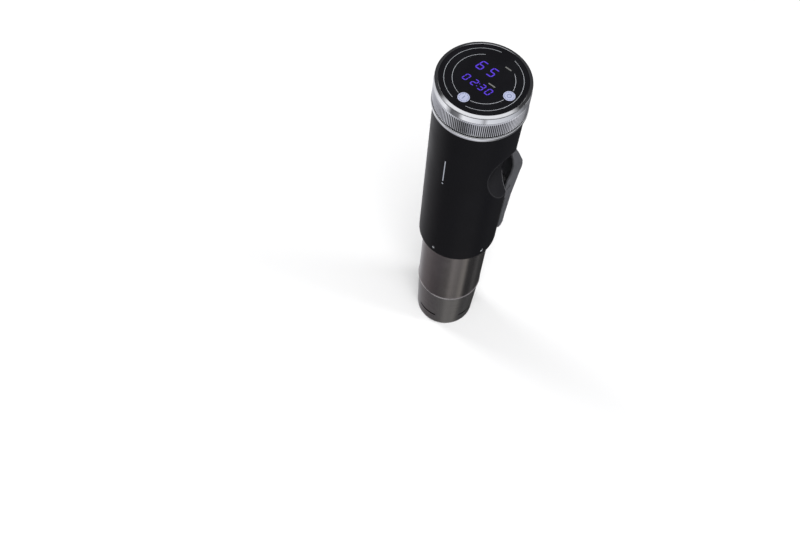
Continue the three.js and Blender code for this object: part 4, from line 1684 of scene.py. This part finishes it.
@dataclass
class Skirt:
    """The steel sleeve and the slotted cap below it."""

    sleeve: Span = field(default_factory=lambda: Span.of("skirt_sleeve"))
    cap: Span = field(default_factory=lambda: Span.of("skirt_cap"))
    sleeve_wall: float = 1.0
    bead: float = 0.6
    seam: float = 52.0
    cap_bottom_radius: float = 24.3
    cap_wall: float = 0.6
    cap_edge: float = 2.4
    slot_height: float = 15.0
    slot_width: float = 2.3
    slot_half: float = 20.6
    slot_turn: float = -3.0
    slots: int = 4
    intakes: int = 10
    intake_radius: float = 2.0
    intake_circle: float = 16.5
    arrow_height: float = 124.6

    def build(self) -> None:
        """Models the skirt."""
        self.build_sleeve()
        self.build_cap()
        self.build_arrow()

    def build_sleeve(self) -> None:
        """The tube, with a rolled bead round its lower end."""
        radius, bottom, top = self.sleeve.radius, self.sleeve.bottom, self.sleeve.top
        bore = radius - self.sleeve_wall
        bead_middle = (radius - self.bead * 0.35, bottom + self.bead)
        outline = [
            (bore, bottom),
            *arc(bead_middle, self.bead, -90, 60, 7),
            (radius, bottom + 2.4 * self.bead),
            (radius, top),
            (bore, top),
            (bore, bottom),
        ]
        present(turned("skirt_tube", outline, 200), Finishes.steel, Body.SKIRT, ["skirt_sleeve"])

    def build_cap(self) -> None:
        """The tapered cap with its water slots and its intake holes."""
        seam_radius = self.cap.radius
        low, edge = self.cap_bottom_radius, self.cap_edge
        slope = (seam_radius - low) / (self.seam - edge)
        heights = [self.slot_height - self.slot_width / 2, self.slot_height + self.slot_width / 2]
        outline = [
            (low - edge, 0.0),
            *arc((low - edge, edge), edge, -75, 0, 6),
            *((low + slope * (height - edge), height) for height in heights),
            (seam_radius - 0.04, self.seam - 0.9),
            (seam_radius - 0.1, self.seam - 0.4),
            (seam_radius - 0.4, self.seam),
        ]
        cap = turned("skirt_end_cap", outline, 240, caps=True)
        with editing(cap, "FACE"):
            pick_faces(cap, lambda middle, normal: normal.z > 0.9 or self.in_slot(middle, heights))
            bpy.ops.mesh.delete(type="FACE")
        modify(cap, "SOLIDIFY", thickness=self.cap_wall * MM, offset=-1.0, use_even_offset=True)
        holes = []
        for i in range(self.intakes):
            hole = rod("hole", self.intake_radius, (self.intake_circle, 0, -1), self.cap_wall + 2, "Z")
            hole.data.transform(about_z(360 / self.intakes * i))
            holes.append(hole)
        carve(cap, holes)
        # the cap's finish paints shade on the inside of its wall and on the slots' lips
        brushed = replace(Finishes.cap_steel, skin=(low - slope * edge) * MM, taper=slope)
        present(cap, brushed, Body.SKIRT, ["skirt_cap"])

    def in_slot(self, middle: Vector, heights: Sequence[float]) -> bool:
        """Whether a face of the cap lies in a water slot.

        Args:
            middle: The face's middle.
            heights: Where the slots start and end.

        Returns:
            True in a slot.
        """
        if not heights[0] < middle.z < heights[1]:
            return False
        apart = 360 / self.slots
        angle = (math.degrees(math.atan2(middle.y, middle.x)) - self.slot_turn) % apart
        return min(angle, apart - angle) < self.slot_half

    def build_arrow(self) -> None:
        """The small mark on the sleeve that lines up with the body's marks."""
        face = -self.sleeve.radius - 0.01
        low, high = (-0.8, face, self.arrow_height - 0.7), (0.8, face + 0.02, self.arrow_height)
        arrow = cube("sleeve_mark", low, high)
        with editing(arrow, "FACE"):
            pick_faces(arrow, lambda _, normal: normal.z > 0.9)
            step((0, 0, 0.8))
            bpy.ops.transform.resize(value=(0.1, 1, 1))
        tidy(arrow)
        present(arrow, Finishes.key_ink, Body.SKIRT)


@dataclass
class Inlet:
    """The rubber gland where a mains lead would enter."""

    gland: Span = field(default_factory=lambda: Span.of("cord_gland"))
    bore: float = 2.7
    neck: float = 5.0
    tail: float = 7.0
    ribs: int = 3

    def build(self) -> None:
        """Models the gland with ribs round its tail."""
        height = (self.gland.bottom + self.gland.top) / 2
        start, end = self.gland.low.y, self.gland.high.y
        flange = self.gland.radius
        flange_start = end - self.tail
        outline = [
            (self.bore, start),
            (self.neck, start),
            (self.neck, flange_start),
            (flange - 0.3, flange_start),
            (flange, flange_start + 0.4),
            (flange - 0.2, flange_start + 1.4),
            (self.neck - 0.1, flange_start + 1.8),
        ]
        for i in range(self.ribs):
            level = flange_start + 2.3 + 1.4 * i
            radius = self.neck - 0.25 - 0.3 * i
            groove = radius - 0.7
            outline += [(radius, level), (radius, level + 0.8), (groove, level + 0.95), (groove, level + 1.3)]
        outline += [(self.bore + 1.0, end), (self.bore, end), (self.bore, start)]
        gland = turned("lead_gland", outline, 56)
        gland.data.transform(shift(0, 0, height) @ Matrix.Rotation(-math.pi / 2, 4, "X"))
        present(gland, Finishes.rubber, Body.HOUSING, ["cord_gland"])


@dataclass
class Insides:
    """The frame's own nodes that stay in view or inside, with their finishes."""

    finishes: dict[str, Finish] = field(
        default_factory=lambda: {
            "inner_plastic": Finishes.inner,
            "white_plastic": Finishes.natural,
            "plain_steel": Finishes.plain,
            "steel": Finishes.steel,
            "chrome": Finishes.chrome,
            "body": Finishes.inner,
            "lever": Finishes.lever,
            "panel_glass": Finishes.panel,
            "indicator": Finishes.guide,
            "aluminium": Finishes.aluminium,
            "brass": Finishes.brass,
            "rubber": Finishes.rubber,
            "board": Finishes.board,
            "magnet": Finishes.magnet,
        }
    )

    def build(self) -> None:
        """Dresses every node by its slot in the record."""
        for entry in frame["record"]["subparts"]:
            node = frame["nodes"][entry["node"]]
            finish = self.finishes[entry["material_slot"]]
            node.data.materials.clear()
            node.data.materials.append(finish.material())


# ------------------------------------------------------------------------------------------ studio


@dataclass(frozen=True)
class SoftBox:
    """One rectangular studio light."""

    name: str
    place: tuple[float, float, float]
    size: tuple[float, float]
    power: float
    target: tuple[float, float, float] = (0.0, 0.0, 0.17)
    colour: Colour = (1.0, 1.0, 1.0)

    def build(self) -> None:
        """Hangs the light and points it."""
        light = bpy.data.lights.new(self.name, "AREA")
        light.shape = "RECTANGLE"
        light.size, light.size_y = self.size
        light.energy = self.power
        light.color = self.colour
        lamp = bpy.data.objects.new(self.name, light)
        lamp.location = self.place
        lamp.visible_glossy = False
        lamp.rotation_euler = (Vector(self.target) - Vector(self.place)).to_track_quat("-Z", "Y").to_euler()
        bpy.context.scene.collection.objects.link(lamp)


@dataclass(frozen=True)
class Daylight:
    """Even, soft light from high up, which reaches the whole floor."""

    name: str
    strength: float
    spread: float
    tilt: tuple[float, float, float]

    def build(self) -> None:
        """Hangs the light."""
        light = bpy.data.lights.new(self.name, "SUN")
        light.energy = self.strength
        light.angle = math.radians(self.spread)
        lamp = bpy.data.objects.new(self.name, light)
        lamp.rotation_euler = tuple(math.radians(angle) for angle in self.tilt)
        lamp.visible_glossy = False
        bpy.context.scene.collection.objects.link(lamp)


@dataclass(frozen=True)
class WallBand:
    """One band of the room's walls, with its brightness by the angle round the room."""

    start: float
    stops: tuple[tuple[float, Colour], ...]
    blur: float = 0.03

    def paint(self, ramp: bpy.types.ColorRamp) -> None:
        """Sets a ramp that runs once round from the side opposite +X.

        Args:
            ramp: The ramp.
        """
        for end in (ramp.elements[0], ramp.elements[-1]):
            end.color = (*self.stops[0][1], 1.0)
        for angle, colour in self.stops[1:]:
            ramp.elements.new((angle + 180) / 360).color = (*colour, 1.0)


@dataclass
class Studio:
    """A pale floor, soft lights and the camera."""

    heading: float = -37.3
    pitch: float = 1.0667
    roll: float = 0.08
    camera_place: tuple[float, float, float] = (0.1966, -0.3285, 0.7453)
    lens: float = 41.26
    floor_size: float = 6.0
    bands: tuple[WallBand, ...] = (
        WallBand(
            -1.0,
            (
                (-180, (0.24, 0.23, 0.24)),
                (-160, (0.17, 0.155, 0.16)),
                (-125, (0.1, 0.088, 0.092)),
                (-95, (0.065, 0.057, 0.06)),
                (-62, (0.09, 0.086, 0.08)),
                (-46, (0.22, 0.21, 0.2)),
                (-22, (0.15, 0.145, 0.14)),
                (-4, (0.3, 0.29, 0.27)),
                (8, (0.04, 0.04, 0.04)),
                (30, (0.035, 0.035, 0.035)),
                (48, (0.1, 0.1, 0.1)),
                (62, (0.05, 0.05, 0.05)),
                (98, (0.03, 0.03, 0.03)),
                (110, (0.4, 0.4, 0.4)),
                (122, (0.4, 0.4, 0.42)),
                (140, (0.55, 0.55, 0.57)),
            ),
        ),
        WallBand(
            -0.82,
            (
                (-180, (0.75, 0.75, 0.78)),
                (-160, (0.5, 0.5, 0.53)),
                (-140, (0.6, 0.6, 0.63)),
                (-110, (0.5, 0.5, 0.54)),
                (-75, (0.55, 0.55, 0.6)),
                (-45, (0.75, 0.75, 0.8)),
                (-25, (0.5, 0.5, 0.53)),
                (0, (0.15, 0.15, 0.16)),
                (115, (0.03, 0.03, 0.03)),
                (150, (0.9, 0.9, 0.93)),
            ),
        ),
        WallBand(
            -0.73,
            (
                (-180, (0.7, 0.7, 0.73)),
                (-135, (0.95, 0.95, 0.98)),
                (-118, (0.12, 0.12, 0.13)),
                (-100, (0.2, 0.2, 0.21)),
                (-88, (0.95, 0.95, 0.98)),
                (-50, (0.75, 0.76, 0.8)),
                (-42, (0.4, 0.4, 0.42)),
                (-34, (0.8, 0.81, 0.85)),
                (20, (0.6, 0.61, 0.65)),
                (60, (0.15, 0.15, 0.16)),
                (130, (0.5, 0.5, 0.52)),
            ),
        ),
        WallBand(-0.3, ((-180, (0.8, 0.8, 0.81)), (-60, (1.0, 1.0, 1.0)), (30, (0.7, 0.7, 0.71)))),
        WallBand(0.22, ((-180, (0.05, 0.05, 0.052)), (0, (0.05, 0.05, 0.052)))),
        WallBand(0.87, ((-180, (0.9, 0.9, 0.92)), (0, (0.9, 0.9, 0.92)))),
    )
    lights: tuple[SoftBox, ...] = (
        SoftBox("key_left", (-1.1, -0.1, 0.9), (0.5, 1.2), 12.0),
        SoftBox("overhead", (0.75, -0.85, 1.9), (1.2, 1.2), 24.0),
        SoftBox("fill_right", (1.0, 0.55, 0.7), (0.4, 1.0), 10.0),
    )
    daylight: Daylight = Daylight("daylight", 1.3, 50.0, (18.0, 20.0, 0.0))

    def build(self) -> None:
        """Sets the stage."""
        self.build_floor()
        for light in (*self.lights, self.daylight):
            light.build()
        self.build_world()
        self.build_camera()
        bpy.context.scene.view_settings.view_transform = "Standard"

    def build_floor(self) -> None:
        """The floor that the object stands on."""
        bpy.ops.mesh.primitive_plane_add(size=self.floor_size)
        floor = adopt("floor")
        graph = Graph("pale floor")
        graph.set(Base_Color=(0.7, 0.7, 0.7, 1.0), Roughness=0.75)
        floor.data.materials.append(graph.material)
        floor.visible_glossy = False

    def build_world(self) -> None:
        """A room whose walls change with the height and the angle round it, under a pale ceiling."""
        world = bpy.data.worlds.new("studio")
        world.use_nodes = True
        tree = world.node_tree
        place = tree.nodes.new("ShaderNodeTexCoord").outputs["Generated"]
        angle = tree.nodes.new("ShaderNodeTexGradient")
        angle.gradient_type = "RADIAL"
        height = tree.nodes.new("ShaderNodeSeparateXYZ")
        tree.links.new(place, angle.inputs["Vector"])
        tree.links.new(place, height.inputs["Vector"])
        colour = None
        for band in self.bands:
            ramp = tree.nodes.new("ShaderNodeValToRGB")
            tree.links.new(angle.outputs["Fac"], ramp.inputs["Fac"])
            band.paint(ramp.color_ramp)
            if colour is None:
                colour = ramp.outputs["Color"]
                continue
            share = tree.nodes.new("ShaderNodeMapRange")
            share.inputs["From Min"].default_value = band.start - band.blur
            share.inputs["From Max"].default_value = band.start + band.blur
            mix = tree.nodes.new("ShaderNodeMix")
            mix.data_type = "RGBA"
            tree.links.new(height.outputs["Z"], share.inputs["Value"])
            tree.links.new(share.outputs[0], mix.inputs["Factor"])
            tree.links.new(colour, mix.inputs[6])
            tree.links.new(ramp.outputs["Color"], mix.inputs[7])
            colour = mix.outputs[2]
        tree.links.new(colour, tree.nodes["Background"].inputs["Color"])
        bpy.context.scene.world = world

    def build_camera(self) -> None:
        """The camera, turned by its heading, pitch and roll."""
        lens = bpy.data.cameras.new("camera")
        lens.lens = self.lens
        lens.clip_start = 0.01
        camera = bpy.data.objects.new("camera", lens)
        turn = -math.radians(self.heading)
        right = Vector((math.cos(turn), math.sin(turn), 0))
        level = math.cos(self.pitch)
        ahead = Vector((-math.sin(turn) * level, math.cos(turn) * level, -math.sin(self.pitch)))
        up = right.cross(ahead)
        side = math.cos(self.roll) * right + math.sin(self.roll) * up
        above = math.cos(self.roll) * up - math.sin(self.roll) * right
        basis = Matrix((side, above, -ahead)).transposed().to_4x4()
        camera.matrix_world = Matrix.Translation(self.camera_place) @ basis
        bpy.context.scene.collection.objects.link(camera)
        bpy.context.scene.camera = camera


def main() -> None:
    """Builds the studio and the circulator in order."""
    logging.basicConfig(level=logging.INFO, format="%(name)s: %(message)s")
    for part in (Studio(), Insides(), GlassTop(), Dial(), Tube(), Clamp(), Skirt(), Inlet()):
        part.build()
        LOG.info("%s done", type(part).__name__)


if __name__ == "__main__":
    main()
